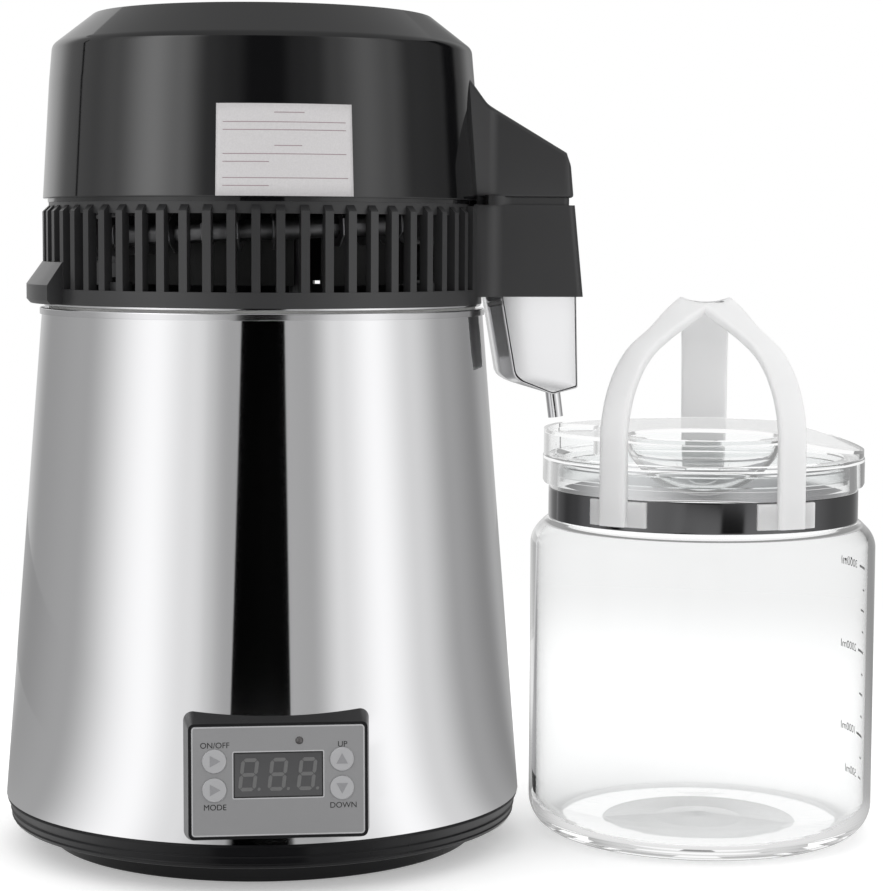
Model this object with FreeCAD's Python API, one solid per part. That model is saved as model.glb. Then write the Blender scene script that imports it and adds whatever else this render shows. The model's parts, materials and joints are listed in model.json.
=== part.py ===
import FreeCAD, Part
import math
import os

# Countertop water distiller with its glass jug. Millimetres, +Z up, everything stands on z = 0.
# The parts are built about the distiller's own axis, with the control panel facing -Y and the
# spout arm pointing to +X, and are moved together so that the origin lies under the middle of the set.

# ---- driving dimensions: body ----
BODY_BASE_R = 115.5
BODY_TOP_R = 98.1
STEEL_BOTTOM_Z = 22.3
STEEL_TOP_Z = 238.3
SHEET = 0.8
BASE_WALL = 2.4
FOOT_R = 95.2
POT_R = 91.2
POT_BOTTOM_Z = 88.0
POT_RIM_Z = 239.3
PAD_RING_R = 76.0
STANDOFF_RING_R = 62.0

# ---- driving dimensions: control panel ----
PANEL_Z = 50.0
PANEL_FRONT = 119.4
FACE_W = 70.6
FACE_H = 44.6
FACE_T = 1.2
WINDOW_W = 36.6
WINDOW_H = 18.6
WINDOW_Z = 2.4
KEY_R = 4.9
KEY_X = 26.0
KEY_UP_Z = 8.3
KEY_LOW_Z = -3.4
KEY_PROUD = 0.6
KEY_TRAVEL = 0.8
KEY_LONG = 3.0
KEY_STEM_R = 1.5
BOARD_Y = 17.5
LAMP_X = 8.6
LAMP_Z = 16.2
LAMP_R = 1.6

# ---- driving dimensions: rear sockets ----
SOCKET_Z = 48.0
SOCKET_X = 26.0
SOCKET_FRONT = 117.5

# ---- driving dimensions: head ----
PAN_FLANGE_R = 97.4
PAN_FLANGE_Z = 240.3
RING_R = 97.8
RING_BOTTOM_Z = 241.3
BAND_TOP_Z = 247.8
SLAT_TOP_Z = 284.2
HOOP_TOP_Z = 285.2
CAP_BOTTOM_Z = 286.8
CAP_TOP_Z = 367.6
CAP_WALL = 2.4
SLATS = 60
SLAT_W = 3.6
SLAT_PHASE = 1.4
LEDGE_R = 104.8
LEDGE_HALF_DEG = 26.0

# ---- driving dimensions: spout arm and nozzle ----
ARM_HALF_W = 25.0
ARM_END_TOP = 137.4
ARM_END_BOTTOM = 141.4
ARM_FLOOR_Z = 244.5
ARM_LOW_TOP_Z = 285.1
ARM_UP_BOTTOM_Z = 288.4
ARM_WALL = 2.5
COVER_HALF_W = 19.0
COVER_INNER_HALF_W = 10.5
COVER_BOTTOM_Z = 200.6
CUP_X = 124.0
TUBE_R = 3.4
TUBE_BORE = 2.6
TUBE_TOP = (130.0, 0.0, 214.5)
TUBE_TIP = (133.2, 0.0, 189.3)

# ---- driving dimensions: condenser and fan ----
COIL_R = 78.0
COIL_TUBE_R = 4.6
COIL_PITCH = 21.0
COIL_TURNS = 1.75
COIL_Z = 258.0
FIN_R = 9.0
FIN_T = 0.6
FIN_STEP_DEG = 10.0
RISER_R = 54.0
LEAD_Z = 268.0
SHAFT_R = 2.5
ROTOR_Z = 308.0
ROTOR_H = 15.0
ROTOR_TIP_R = 61.0
BLADES = 7
SHROUD_R = 65.0
SHROUD_LOW_Z = 250.0

# ---- driving dimensions: jug ----
JUG_X = 199.9
JUG_Y = -9.8
JUG_TURN = -13.1
JAR_R = 78.4
JAR_WALL = 3.2
JAR_FLOOR = 6.0
NECK_R = 69.4
SHOULDER_Z = 132.0
NECK_TOP_Z = 170.4
BAND_BOTTOM_Z = 143.9
BAND_HIGH_Z = 157.6
BAND_R = 70.3
LID_R = 73.0
LID_SKIRT_Z = 159.8
LID_PLATE_Z = 172.6
DECK_R = 72.6
DECK_Z = 184.3
DECK_SLOPE_X = 38.0
DECK_EDGE_Z = 176.0
LID_WALL = 2.0
WELL_Y = -34.0
WELL_RIM_Z = 175.6
WELL_R = 30.5
WELL_DEPTH = 15.5
HANDLE_TOP_Z = 243.5
HANDLE_PEAK_Z = 247.6
HANDLE_EAVE_Z = 214.2
HANDLE_BEND_R = 47.0
HANDLE_T = 4.2
HANDLE_INNER_R = 73.5
HANDLE_FRONT_DEG = 30.3
HANDLE_FRONT_W = 13.0
HANDLE_REAR_W = 22.0
CROWN_R = 20.0
CROWN_LOW_Z = 236.8
DIP_HALF_W = 9.5
DIP_DEPTH = 1.8
FOOT_Z = 146.2
FOOT_TOP_Z = 157.4
FOOT_PLATE_R = 75.6
LUG_R = 73.0
FOOT_SPANS = [(-130.0, -108.6), (-71.4, -50.0), (78.0, 102.0)]

# ---- how far the set reaches, which gives the origin ----
X_LOW = -BODY_BASE_R
X_HIGH = JUG_X + JAR_R
Y_LOW = -121.3
Y_HIGH = 118.5

UP = FreeCAD.Vector(0, 0, 1)
ZERO = FreeCAD.Vector(0, 0, 0)


# ---------------------------------------------------------------- shape helpers
def vec(x, y, z):
    return FreeCAD.Vector(x, y, z)


def outline(corners, plane):
    """Closed face through corners (u, v) or (u, v, radius), where a radius rounds the corner with a tangent arc."""
    spots = []
    count = len(corners)
    for i in range(count):
        here = vec(corners[i][0], corners[i][1], 0)
        radius = corners[i][2] if len(corners[i]) > 2 else 0
        if not radius:
            spots.append((here, None, here))
            continue
        before = vec(corners[i - 1][0], corners[i - 1][1], 0)
        after = vec(corners[(i + 1) % count][0], corners[(i + 1) % count][1], 0)
        a = (before - here).normalize()
        b = (after - here).normalize()
        half = a.getAngle(b) / 2
        middle = (a + b).normalize()
        centre = here + middle * (radius / math.sin(half))
        cut = radius / math.tan(half)
        spots.append((here + a * cut, centre - middle * radius, here + b * cut))
    place = {"xy": lambda p: vec(p.x, p.y, 0), "xz": lambda p: vec(p.x, 0, p.y)}[plane]
    edges = []
    for i in range(count):
        start, middle, end = spots[i]
        last = spots[i - 1][2]
        if (start - last).Length > 1e-6:
            edges.append(Part.LineSegment(place(last), place(start)).toShape())
        if middle:
            edges.append(Part.Arc(place(start), place(middle), place(end)).toShape())
    return Part.Face(Part.Wire(edges))


def turned(corners):
    """Solid of revolution about Z of an outline of (radius, height) corners."""
    return outline(corners, "xz").revolve(ZERO, UP, 360)


def slab(corners, low, high):
    """Plan outline extruded from one height to another."""
    face = outline(corners, "xy")
    face.translate(vec(0, 0, low))
    return face.extrude(vec(0, 0, high - low))


def side_slab(corners, low, high):
    """Side-view outline of (x, z) corners extruded from one y to another."""
    face = outline(corners, "xz")
    face.translate(vec(0, low, 0))
    return face.extrude(vec(0, high - low, 0))


def rod(radius, low, high, x=0.0, y=0.0):
    return Part.makeCylinder(radius, high - low, vec(x, y, low))


def pipe(radius, bore, low, high, x=0.0, y=0.0):
    return rod(radius, low, high, x, y).cut(rod(bore, low - 1, high + 1, x, y))


def block(x0, x1, y0, y1, z0, z1):
    return Part.makeBox(x1 - x0, y1 - y0, z1 - z0, vec(x0, y0, z0))


def spun(shape, degrees):
    twin = shape.copy()
    twin.rotate(ZERO, UP, degrees)
    return twin


def around(shape, count, start=0.0):
    """Evenly spaced copies of a shape about Z."""
    return [spun(shape, start + 360.0 * i / count) for i in range(count)]


def joined(first, others):
    return first.fuse(others).removeSplitter()


def rounded_box(width, height, corner, x=0.0, z=0.0):
    """Corners of a rounded rectangle about (x, z)."""
    w, h = width / 2, height / 2
    return [
        (x - w, z - h, corner),
        (x + w, z - h, corner),
        (x + w, z + h, corner),
        (x - w, z + h, corner),
    ]


def bent_path(points, radius):
    """Wire of straight runs joined by tangent arcs of one radius."""
    edges = []
    last = points[0]
    for i in range(1, len(points) - 1):
        here = points[i]
        a = (points[i - 1] - here).normalize()
        b = (points[i + 1] - here).normalize()
        half = a.getAngle(b) / 2
        middle = (a + b).normalize()
        cut = radius / math.tan(half)
        start, end = here + a * cut, here + b * cut
        crown = here + middle * (radius / math.sin(half) - radius)
        edges.append(Part.LineSegment(last, start).toShape())
        edges.append(Part.Arc(start, crown, end).toShape())
        last = end
    edges.append(Part.LineSegment(last, points[-1]).toShape())
    return Part.Wire(edges)


def tube_along(wire, radius, bore):
    """Hollow tube along a wire, square to it at its start."""
    start = wire.Edges[0].valueAt(wire.Edges[0].FirstParameter)
    facing = wire.Edges[0].tangentAt(wire.Edges[0].FirstParameter)
    solids = []
    for r in (radius, bore):
        ring = Part.Wire(Part.Circle(start, facing, r).toShape())
        solids.append(wire.makePipeShell([ring], True, True))
    return solids[0].cut(solids[1])


# ---------------------------------------------------------------- steel body
def body_r(z):
    """Outer radius of the steel cone at a height."""
    share = (z - STEEL_BOTTOM_Z) / (STEEL_TOP_Z - STEEL_BOTTOM_Z)
    return BODY_BASE_R + share * (BODY_TOP_R - BODY_BASE_R)


LEAN = math.degrees(math.atan((BODY_BASE_R - BODY_TOP_R) / (STEEL_TOP_Z - STEEL_BOTTOM_Z)))


def body_core(extra=0.0):
    """The space inside the steel cone, a little larger by extra."""
    low, high = 0.0, STEEL_TOP_Z
    return Part.makeCone(body_r(low) + extra, body_r(high) + extra, high - low, vec(0, 0, low))


def on_front(shape):
    """Moves a shape from the panel's own frame, with x across, y inwards and z up, onto the body's front."""
    shape.rotate(ZERO, vec(1, 0, 0), -LEAN)
    shape.translate(vec(0, -PANEL_FRONT, PANEL_Z))
    return shape


def on_rear(shape, x):
    """Moves a socket from its own frame, with y outwards, onto the body's rear."""
    shape.rotate(ZERO, vec(1, 0, 0), LEAN)
    shape.translate(vec(x, SOCKET_FRONT, SOCKET_Z))
    return shape


def base_pan():
    """Black base: floor, sloping foot, overhanging ring with two fine ribs, and a collar inside the steel."""
    rim = STEEL_BOTTOM_Z
    corners = [
        (0, 3.0),
        (90.0, 3.0),
        (92.0, 1.5),
        (FOOT_R, 1.5),
        (98.6, 11.5),
        (112.6, 11.5),
        (113.4, 13.2),
        (113.0, 13.7),
        (113.8, 16.3),
        (113.4, 16.8),
        (115.3, 21.0),
        (114.9, rim),
        (114.3, rim),
        (113.9, rim + 5),
        (111.6, rim + 5),
        (110.4, 14.0),
        (96.6, 14.0),
        (93.2, 5.4),
        (0, 5.4),
    ]
    pan = turned(corners)
    slot = slab(rounded_box(22.0, 3.0, 1.4, 40.0), 2.0, 6.5)
    vents = around(slot, 12)
    holes = around(rod(1.7, 2.0, 6.5, STANDOFF_RING_R), 3, 30)
    return pan.cut(vents + holes)


def foot_pads():
    pad = turned([(0, 0), (8.2, 0), (9.0, 0.8), (9.0, 3.0), (0, 3.0)])
    pad.translate(vec(PAD_RING_R, 0, 0))
    return Part.makeCompound(around(pad, 4, 45))


def base_screws():
    """Three screws that draw the base up to the standoffs under the pot."""
    screw = turned([(0, 1.7), (3.0, 1.7), (3.4, 3.0), (1.5, 3.0), (1.5, 20.0), (0, 20.0)])
    screw = screw.cut(block(-0.4, 0.4, -2.2, 2.2, 1.0, 2.4))
    screw.translate(vec(STANDOFF_RING_R, 0, 0))
    return Part.makeCompound(around(screw, 3, 30))


def standoffs():
    post = pipe(4.5, 1.5, 5.4, POT_BOTTOM_Z, STANDOFF_RING_R)
    return Part.makeCompound(around(post, 3, 30))


def outer_shell():
    """Polished steel cone with a hemmed lower edge, open for the panel and the two sockets."""
    low, high = STEEL_BOTTOM_Z, STEEL_TOP_Z
    corners = [
        (body_r(low), low),
        (body_r(high), high),
        (body_r(high) - SHEET, high),
        (body_r(low) - SHEET, low),
    ]
    shell = turned(corners)
    window = on_front(side_slab(rounded_box(62, 38, 2), -5, 20))
    inlet = on_rear(side_slab(rounded_box(28, 21, 2), -20, 5), -SOCKET_X)
    outlet = on_rear(side_slab(rounded_box(21, 15, 2), -20, 5), SOCKET_X)
    return shell.cut([window, inlet, outlet])


def boiler_pot():
    """Stainless pot whose rim folds over the top of the outer cone."""
    r, out = POT_R, POT_R + SHEET
    lip = BODY_TOP_R + 0.3
    floor = POT_BOTTOM_Z
    corners = [
        (0, floor),
        (out, floor, 10.8),
        (out, POT_RIM_Z - SHEET),
        (lip, POT_RIM_Z - SHEET),
        (lip, POT_RIM_Z - 3.0),
        (lip + 0.7, POT_RIM_Z - 3.0),
        (lip + 0.7, POT_RIM_Z),
        (r, POT_RIM_Z),
        (r, floor + SHEET, 10.0),
        (0, floor + SHEET),
    ]
    return turned(corners)


def heater_plate():
    """Ring element cast into a disc under the pot, with its two terminals."""
    z = POT_BOTTOM_Z
    disc = turned([(18, z - 5), (50, z - 5), (50, z), (18, z)])
    loop = Part.makeTorus(38, 4, vec(0, 0, z - 6.5))
    prongs = [block(36, 40, y, y + 6, z - 22, z - 6) for y in (-14, 8)]
    return joined(disc, [loop] + prongs)


def thermostats():
    """Two snap-disc cut-outs clamped to the pot's floor."""
    made = []
    for angle in (182, 214):
        can = rod(7.5, POT_BOTTOM_Z - 10, POT_BOTTOM_Z, 72)
        tabs = [block(70, 74, y, y + 0.8, POT_BOTTOM_Z - 18, POT_BOTTOM_Z - 10) for y in (-4, 3.2)]
        made.append(spun(joined(can, tabs), angle))
    return Part.makeCompound(made)


# ---------------------------------------------------------------- control panel
def panel_bezel():
    """Raised black surround whose foot follows the cone and whose front holds the faceplate."""
    depth = 16.0
    back = outline(rounded_box(77.4, 55.6, 5.0, 0, 1.4), "xz")
    back.translate(vec(0, depth, 0))
    front = outline(rounded_box(FACE_W + 2.6, FACE_H + 2.4, 2.4), "xz")
    body = Part.makeLoft([back.OuterWire, front.OuterWire], True, True)
    pocket = side_slab(rounded_box(FACE_W + 0.2, FACE_H + 0.2, 1.6), -1, FACE_T)
    well = side_slab(rounded_box(WINDOW_W + 1, WINDOW_H + 1, 0.5, 0, WINDOW_Z), 0, depth + 1)
    body = body.cut([pocket, well] + key_wells(KEY_R + 0.3, depth + 1))
    return on_front(body).cut(body_core(0.02))


def key_wells(radius, depth):
    wells = []
    for x in (-KEY_X, KEY_X):
        for z in (KEY_LOW_Z, KEY_UP_Z):
            wells.append(Part.makeCylinder(radius, depth + 1, vec(x, -1, z), vec(0, 1, 0)))
    wells.append(Part.makeCylinder(LAMP_R, depth + 1, vec(LAMP_X, -1, LAMP_Z), vec(0, 1, 0)))
    return wells


def faceplate():
    plate = side_slab(rounded_box(FACE_W, FACE_H, 1.5), 0, FACE_T)
    window = side_slab(rounded_box(WINDOW_W, WINDOW_H, 0.4, 0, WINDOW_Z), -1, FACE_T + 1)
    return on_front(plate.cut([window] + key_wells(KEY_R + 0.1, FACE_T + 1)))


def display_window():
    return on_front(side_slab(rounded_box(WINDOW_W, WINDOW_H, 0.4, 0, WINDOW_Z), 0.1, FACE_T))


def display_module():
    """Three-digit block behind the window."""
    return on_front(side_slab(rounded_box(WINDOW_W, WINDOW_H, 0.4, 0, WINDOW_Z), FACE_T, 9.0))


def lamp_lens():
    lens = Part.makeCylinder(LAMP_R, 4.0, vec(LAMP_X, 0, LAMP_Z), vec(0, 1, 0))
    dome = Part.makeSphere(LAMP_R, vec(LAMP_X, 0.7, LAMP_Z))
    return on_front(joined(lens.common(block(0, 20, 0.4, 9, 10, 20)), [dome]))


def key(x, z):
    """Round key that stands proud of the faceplate, with a stem that reaches nearly to the board."""
    cap = Part.makeCylinder(KEY_R, KEY_LONG + KEY_PROUD, vec(x, -KEY_PROUD, z), vec(0, 1, 0))
    rim = [e for e in cap.Edges if e.Closed and e.CenterOfMass.y < 0]
    stem = Part.makeCylinder(KEY_STEM_R, BOARD_Y - KEY_TRAVEL - 0.4, vec(x, 0, z), vec(0, 1, 0))
    return on_front(joined(cap.makeChamfer(0.3, rim), [stem]))


def control_board():
    board = side_slab(rounded_box(66, 46, 1), BOARD_Y, 19.1)
    chips = [
        block(-20, -6, 19.1, 27, -15, 0),
        block(2, 20, 19.1, 31, -16, -2),
        block(-26, 26, 19.1, 21, 6, 14),
    ]
    return on_front(joined(board, chips))


# ---------------------------------------------------------------- rear sockets
def power_inlet():
    """Three-pin appliance inlet: flange outside the steel, deep recess, earth and live pins."""
    flange = side_slab(rounded_box(32, 25, 3), -8, 0)
    barrel = side_slab(rounded_box(27, 20, 2), -22, -1)
    recess = [(-11.8, -8.2, 1), (11.8, -8.2, 1), (11.8, 4.4), (7.6, 8.2), (-7.6, 8.2), (-11.8, 4.4)]
    socket = joined(flange, [barrel]).cut(side_slab(recess, -17, 1))
    pins = [block(x - 1, x + 1, -18, -6.5, z - 2, z + 2) for x, z in ((-7, -1), (0, 2.4), (7, -1))]
    return seated_on_rear(joined(socket, pins), -SOCKET_X, 13.7, 10.2)


def fan_socket():
    """Small two-pole outlet that feeds the fan in the head."""
    flange = side_slab(rounded_box(25, 19, 3), -8, 0)
    barrel = side_slab(rounded_box(20, 14, 2), -20, -1)
    recess = side_slab(rounded_box(15, 9, 2), -12, 1)
    slots = [block(x - 0.8, x + 0.8, -16, -11, -3, 3) for x in (-4, 4)]
    socket = joined(flange, [barrel]).cut([recess] + slots)
    return seated_on_rear(socket, SOCKET_X, 10.2, 7.2)


def seated_on_rear(shape, x, half_w, half_h):
    """Trims the flange to the cone and leaves the barrel that passes through the cut-out."""
    solid = on_rear(shape.copy(), x)
    core = body_core(0.02)
    barrel = on_rear(block(-half_w, half_w, -25, 1, -half_h, half_h), x)
    return solid.cut(core).fuse(solid.common(core).common(barrel)).removeSplitter()


# ---------------------------------------------------------------- head: steel parts
def lid_pan():
    """Stainless dish that closes the boiler and carries the head."""
    z, r = PAN_FLANGE_Z, 89.4
    corners = [
        (0, z - 7.5),
        (r - 1, z - 7.5),
        (r, z - 6.5),
        (r, z),
        (PAN_FLANGE_R, z),
        (PAN_FLANGE_R, z + 1),
        (r - SHEET, z + 1),
        (r - SHEET, z - 6.1),
        (r - 1.4, z - 6.7),
        (0, z - 6.7),
    ]
    foot = riser_foot()
    hole = rod(COIL_TUBE_R + 0.02, z - 9, z - 5, foot.x, foot.y)
    return turned(corners).cut(hole)


def head_seal():
    z, r = PAN_FLANGE_Z, 89.4
    low = POT_RIM_Z
    return turned([(r, z - 4), (r + 1.5, z - 4), (r + 1.5, low), (95.0, low), (95.0, z), (r, z)])


def coil_point(degrees):
    """Centre of the condenser tube at an angle along the coil."""
    a = math.radians(degrees)
    return vec(COIL_R * math.cos(a), COIL_R * math.sin(a), COIL_Z + COIL_PITCH * degrees / 360.0)


def coil_heading(degrees):
    a = math.radians(degrees)
    rise = COIL_PITCH / (2 * math.pi)
    return vec(-COIL_R * math.sin(a), COIL_R * math.cos(a), rise).normalize()


def riser_foot():
    end = coil_point(360 * COIL_TURNS)
    away = math.degrees(math.atan2(end.y, end.x)) + 14
    a = math.radians(away)
    return vec(RISER_R * math.cos(a), RISER_R * math.sin(a), PAN_FLANGE_Z - 6.7)


def condenser_coil():
    """Stainless tube wound just under two turns on a rising helix, as a run of short straight lengths."""
    steps = int(360 * COIL_TURNS / FIN_STEP_DEG)
    rings = []
    for i in range(steps + 1):
        ring = sided_ring(COIL_TUBE_R, 12)
        turn = FreeCAD.Rotation(vec(1, 0, 0), coil_heading(i * FIN_STEP_DEG))
        ring.Placement = FreeCAD.Placement(coil_point(i * FIN_STEP_DEG), turn)
        rings.append(ring)
    return Part.makeLoft(rings, True, True)


def coil_fins():
    """Eight-sided fins threaded on the coil, each square to the tube."""
    hole = COIL_TUBE_R / math.cos(math.pi / 8) + 0.05
    plates = [Part.Face(sided_ring(r, 8)).extrude(vec(FIN_T, 0, 0)) for r in (FIN_R, hole)]
    fin = plates[0].cut(plates[1])
    fin.translate(vec(-FIN_T / 2, 0, 0))
    fins = []
    steps = int(360 * COIL_TURNS / FIN_STEP_DEG)
    for i in range(1, steps):
        angle = i * FIN_STEP_DEG
        twin = fin.copy()
        turn = FreeCAD.Rotation(vec(1, 0, 0), coil_heading(angle))
        twin.Placement = FreeCAD.Placement(coil_point(angle), turn).multiply(twin.Placement)
        fins.append(twin)
    return Part.makeCompound(fins)


def sided_ring(radius, sides):
    """Regular polygon about the origin, square to X."""
    spots = []
    for k in range(sides):
        a = (2 * k + 1) * math.pi / sides
        spots.append(vec(0, radius * math.cos(a), radius * math.sin(a)))
    return Part.makePolygon(spots + [spots[0]])


def steam_riser():
    """Carries steam from the dish up and into the top of the coil."""
    end = coil_point(360 * COIL_TURNS)
    ahead = end + coil_heading(360 * COIL_TURNS) * 16
    foot = riser_foot()
    top = vec(foot.x, foot.y, ahead.z)
    return tube_along(bent_path([foot, top, ahead, end], 8.5), COIL_TUBE_R, COIL_TUBE_R - 0.8)


def condensate_route():
    """Corner points from the coil's lower end into the spout arm and down over the filter cup."""
    start = coil_point(0)
    back = start - coil_heading(0) * 14
    turn = vec(CUP_X, 0, back.z)
    return [start, back, turn, vec(CUP_X, 0, ARM_FLOOR_Z + 4)]


def condensate_pipe():
    return tube_along(bent_path(condensate_route(), 6.0), COIL_TUBE_R - 0.6, COIL_TUBE_R - 1.4)


def condensate_drill():
    """Hole through the ring's wall for the condensate pipe."""
    start, back, turn, end = condensate_route()
    along = (turn - back).normalize()
    return Part.makeCylinder(COIL_TUBE_R - 0.3, 16, back + along * 13, along)


# ---------------------------------------------------------------- head: mouldings
def arm_plan(end_x, half_w, root=11.0, inset=0.0):
    """Plan of the spout arm: parallel sides that flare into the round head, rounded outer corners."""
    start_x = 84.0 - inset
    flare_y = half_w + 17.0
    corner = max(3.5 - inset, 0.5)
    return [
        (start_x, -flare_y),
        (100.0, -half_w, root + inset),
        (end_x, -half_w, corner),
        (end_x, half_w, corner),
        (100.0, half_w, root + inset),
        (start_x, flare_y),
    ]


def tapered_arm(end_low, end_high, half_w, low, high, inset=0.0):
    """Arm body between two heights whose end leans with its draft."""
    bottom = outline(arm_plan(end_low, half_w, inset=inset), "xy")
    bottom.translate(vec(0, 0, low))
    top = outline(arm_plan(end_high, half_w, inset=inset), "xy")
    top.translate(vec(0, 0, high))
    return Part.makeLoft([bottom.OuterWire, top.OuterWire], True, True)


def grille_slat():
    """One upright slat with its top cut back to the hoop."""
    corners = [(93.2, BAND_TOP_Z - 2), (97.5, BAND_TOP_Z - 2), (97.5, SLAT_TOP_Z - 3), (94.4, SLAT_TOP_Z), (93.2, SLAT_TOP_Z)]
    return side_slab(corners, -SLAT_W / 2, SLAT_W / 2)


def grip_ledge():
    """Finger ledge opposite the arm: a sloped flange round part of the ring."""
    z = RING_BOTTOM_Z
    corners = [(96.0, z + 18.6), (97.8, z + 18.0), (LEDGE_R, z + 8.3), (LEDGE_R, z + 1.8), (LEDGE_R - 1.6, z), (96.0, z)]
    half = LEDGE_HALF_DEG
    ledge = outline(corners, "xz").revolve(ZERO, UP, 2 * half)
    return spun(ledge, 180 - half)


def grille_ring():
    """Slatted ring with its hoops, finger ledge, screw bosses and the lower half of the spout arm."""
    band = pipe(RING_R, 93.5, RING_BOTTOM_Z, BAND_TOP_Z)
    hoop = pipe(94.8, 91.5, HOOP_TOP_Z - 5, HOOP_TOP_Z)
    slat = grille_slat()
    slats = []
    for i in range(SLATS):
        angle = -90 + SLAT_PHASE + i * 360.0 / SLATS
        offset = (angle + 180) % 360 - 180
        if abs(offset) > 22:
            slats.append(spun(slat, angle))
    wall = slab_sector(95.0, RING_R, -24, 24, BAND_TOP_Z - 1, SLAT_TOP_Z)
    boss = block(86.5, 94.5, -4, 4, RING_BOTTOM_Z, RING_BOTTOM_Z + 10)
    bosses = around(boss, 4, 45)
    arm = spout_arm_low()
    pad = slab_sector(93.2, 97.4, 84, 96, BAND_TOP_Z - 1, SLAT_TOP_Z - 3)
    ring = joined(band, [hoop, wall, pad, grip_ledge(), arm] + bosses + slats)
    bore = rod(1.5, RING_BOTTOM_Z - 1, RING_BOTTOM_Z + 8, 90.5)
    lead_hole = Part.makeCylinder(5.05, 20, vec(0, 85, LEAD_Z), vec(0, 1, 0))
    return ring.cut(around(bore, 4, 45) + [condensate_drill(), lead_hole])


def slab_sector(inner, outer, from_deg, to_deg, low, high):
    """Curved wall between two radii, two angles and two heights."""
    face = outline([(inner, low), (outer, low), (outer, high), (inner, high)], "xz")
    return spun(face.revolve(ZERO, UP, to_deg - from_deg), from_deg)


def spout_arm_low():
    low, high = ARM_FLOOR_Z, ARM_LOW_TOP_Z
    outside = tapered_arm(ARM_END_BOTTOM, ARM_END_TOP, ARM_HALF_W, low, high)
    inside = tapered_arm(
        ARM_END_BOTTOM - ARM_WALL, ARM_END_TOP - ARM_WALL, ARM_HALF_W - ARM_WALL, low + 2, high + 1, ARM_WALL
    )
    mouth = rod(11.3, low - 1, low + 3, CUP_X)
    clear = rod(RING_R - 0.8, low - 1, high + 8)
    lips = []
    for inset in (ARM_WALL, ARM_WALL + 1.2):
        end = ARM_END_TOP - 0.4 - inset
        lips.append(tapered_arm(end, end - 0.4, ARM_HALF_W - inset, high - 3, high + 5, inset))
    return joined(outside.cut(inside), [lips[0].cut(lips[1])]).cut([mouth, clear])


def top_cap():
    """Gloss black cap: flaring wall, rounded shoulder, flat vented top and the upper half of the arm."""
    low, top, wall = CAP_BOTTOM_Z, CAP_TOP_Z, CAP_WALL
    corners = [
        (97.3, low),
        (94.2, 338.0, 80),
        (92.8, 353.6, 4.5),
        (74.8, top, 1.2),
        (0, top),
        (0, top - wall),
        (73.9, top - wall),
        (90.3, 352.5, 2.1),
        (91.8, 338.0, 80),
        (94.7, low + 2.4),
        (91.5, low + 0.4),
        (91.5, HOOP_TOP_Z),
        (95.2, HOOP_TOP_Z),
        (95.2, low),
    ]
    cap = turned(corners)
    arm = spout_arm_high()
    posts = around(pipe(4.0, 1.3, 352.0, top - wall, 52), 4, 45)
    cap = joined(cap, [arm] + posts)
    inner = slab(rounded_box(15.0, 3.0, 1.4, 25.0), top - 4, top + 1)
    outer = slab(rounded_box(20.0, 3.2, 1.5, 47.0), top - 4, top + 1)
    vents = around(inner, 20) + [v for v in around(outer, 32, 5.6)]
    return cap.cut([v for v in vents if clear_of_posts(v)])


def clear_of_posts(vent):
    centre = vent.CenterOfMass
    angle = math.degrees(math.atan2(centre.y, centre.x)) % 90
    return math.hypot(centre.x, centre.y) < 40 or abs(angle - 45) > 6.5


def spout_arm_high():
    """Upper half of the arm: falls away from the cap, hollow and open below."""
    made = []
    for inset in (0.0, ARM_WALL):
        end = ARM_END_TOP - 0.6 - inset
        low = ARM_UP_BOTTOM_Z - (0.0 if not inset else 1.0)
        profile = [
            (84.0, low),
            (end, low),
            (end - 1.8, 307.3 - inset, 5.0 - inset),
            (97.4 - inset / 2, 329.5 - inset, 12.0),
            (84.0, 345.6 - inset),
        ]
        side = side_slab(profile, -45, 45)
        plan = slab(arm_plan(end + 5, ARM_HALF_W - inset, inset=inset), low, 350.0)
        made.append(side.common(plan))
    outside, inside = made
    edges = [e for e in outside.Edges if e.Length > 20 and is_arm_shoulder(e.CenterOfMass)]
    outside = outside.makeFillet(2.4, edges)
    hollow = turned([(0, 280), (95.5, 280), (92.6, 338), (91.9, 349), (0, 349)])
    return outside.cut([inside, hollow])


def is_arm_shoulder(point):
    return point.z > 310 and abs(abs(point.y) - ARM_HALF_W) < 0.5


def dish_studs():
    """Studs welded on the dish's flange that hold it to the ring's bosses."""
    stud = rod(1.4, PAN_FLANGE_Z + 1, PAN_FLANGE_Z + 8.5, 90.5)
    return Part.makeCompound(around(stud, 4, 45))


def lead_gland():
    """Grommet at the rear of the ring where the fan's lead leaves."""
    gland = turned([(2.6, 0), (5.0, 0), (5.0, 3.3), (6.6, 3.3), (6.6, 5.0), (4.4, 9.0), (2.6, 9.0)])
    gland.rotate(ZERO, vec(1, 0, 0), -90)
    gland.translate(vec(0, 94.4, LEAD_Z))
    return gland


# ---------------------------------------------------------------- fan
def motor_bracket():
    """Cross-shaped strap that hangs the motor from the cap's posts."""
    arms = [spun(block(-SHROUD_R, SHROUD_R, -6, 6, 349.6, 352.0), a) for a in (45, 135)]
    plate = rod(30, 349.6, 352.0)
    holes = around(rod(1.7, 348, 353, 52), 4, 45)
    return joined(plate, arms).cut(holes)


def fan_shroud():
    """Duct that hangs from the bracket round the fan and ends above the dish, notched for the steam riser."""
    duct = pipe(SHROUD_R, SHROUD_R - 2.0, SHROUD_LOW_Z, 349.6)
    foot = riser_foot()
    turn = math.degrees(math.atan2(foot.y, foot.x))
    notch = spun(block(55, 75, -COIL_TUBE_R - 1.5, COIL_TUBE_R + 1.5, SHROUD_LOW_Z - 1, 303.5), turn)
    return duct.cut(notch)


def bracket_screws():
    screw = turned([(0, 347.6), (3.0, 347.6), (3.0, 349.6), (1.3, 349.6), (1.3, 360.0), (0, 360.0)])
    screw.translate(vec(52, 0, 0))
    return Part.makeCompound(around(screw, 4, 45))


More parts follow.
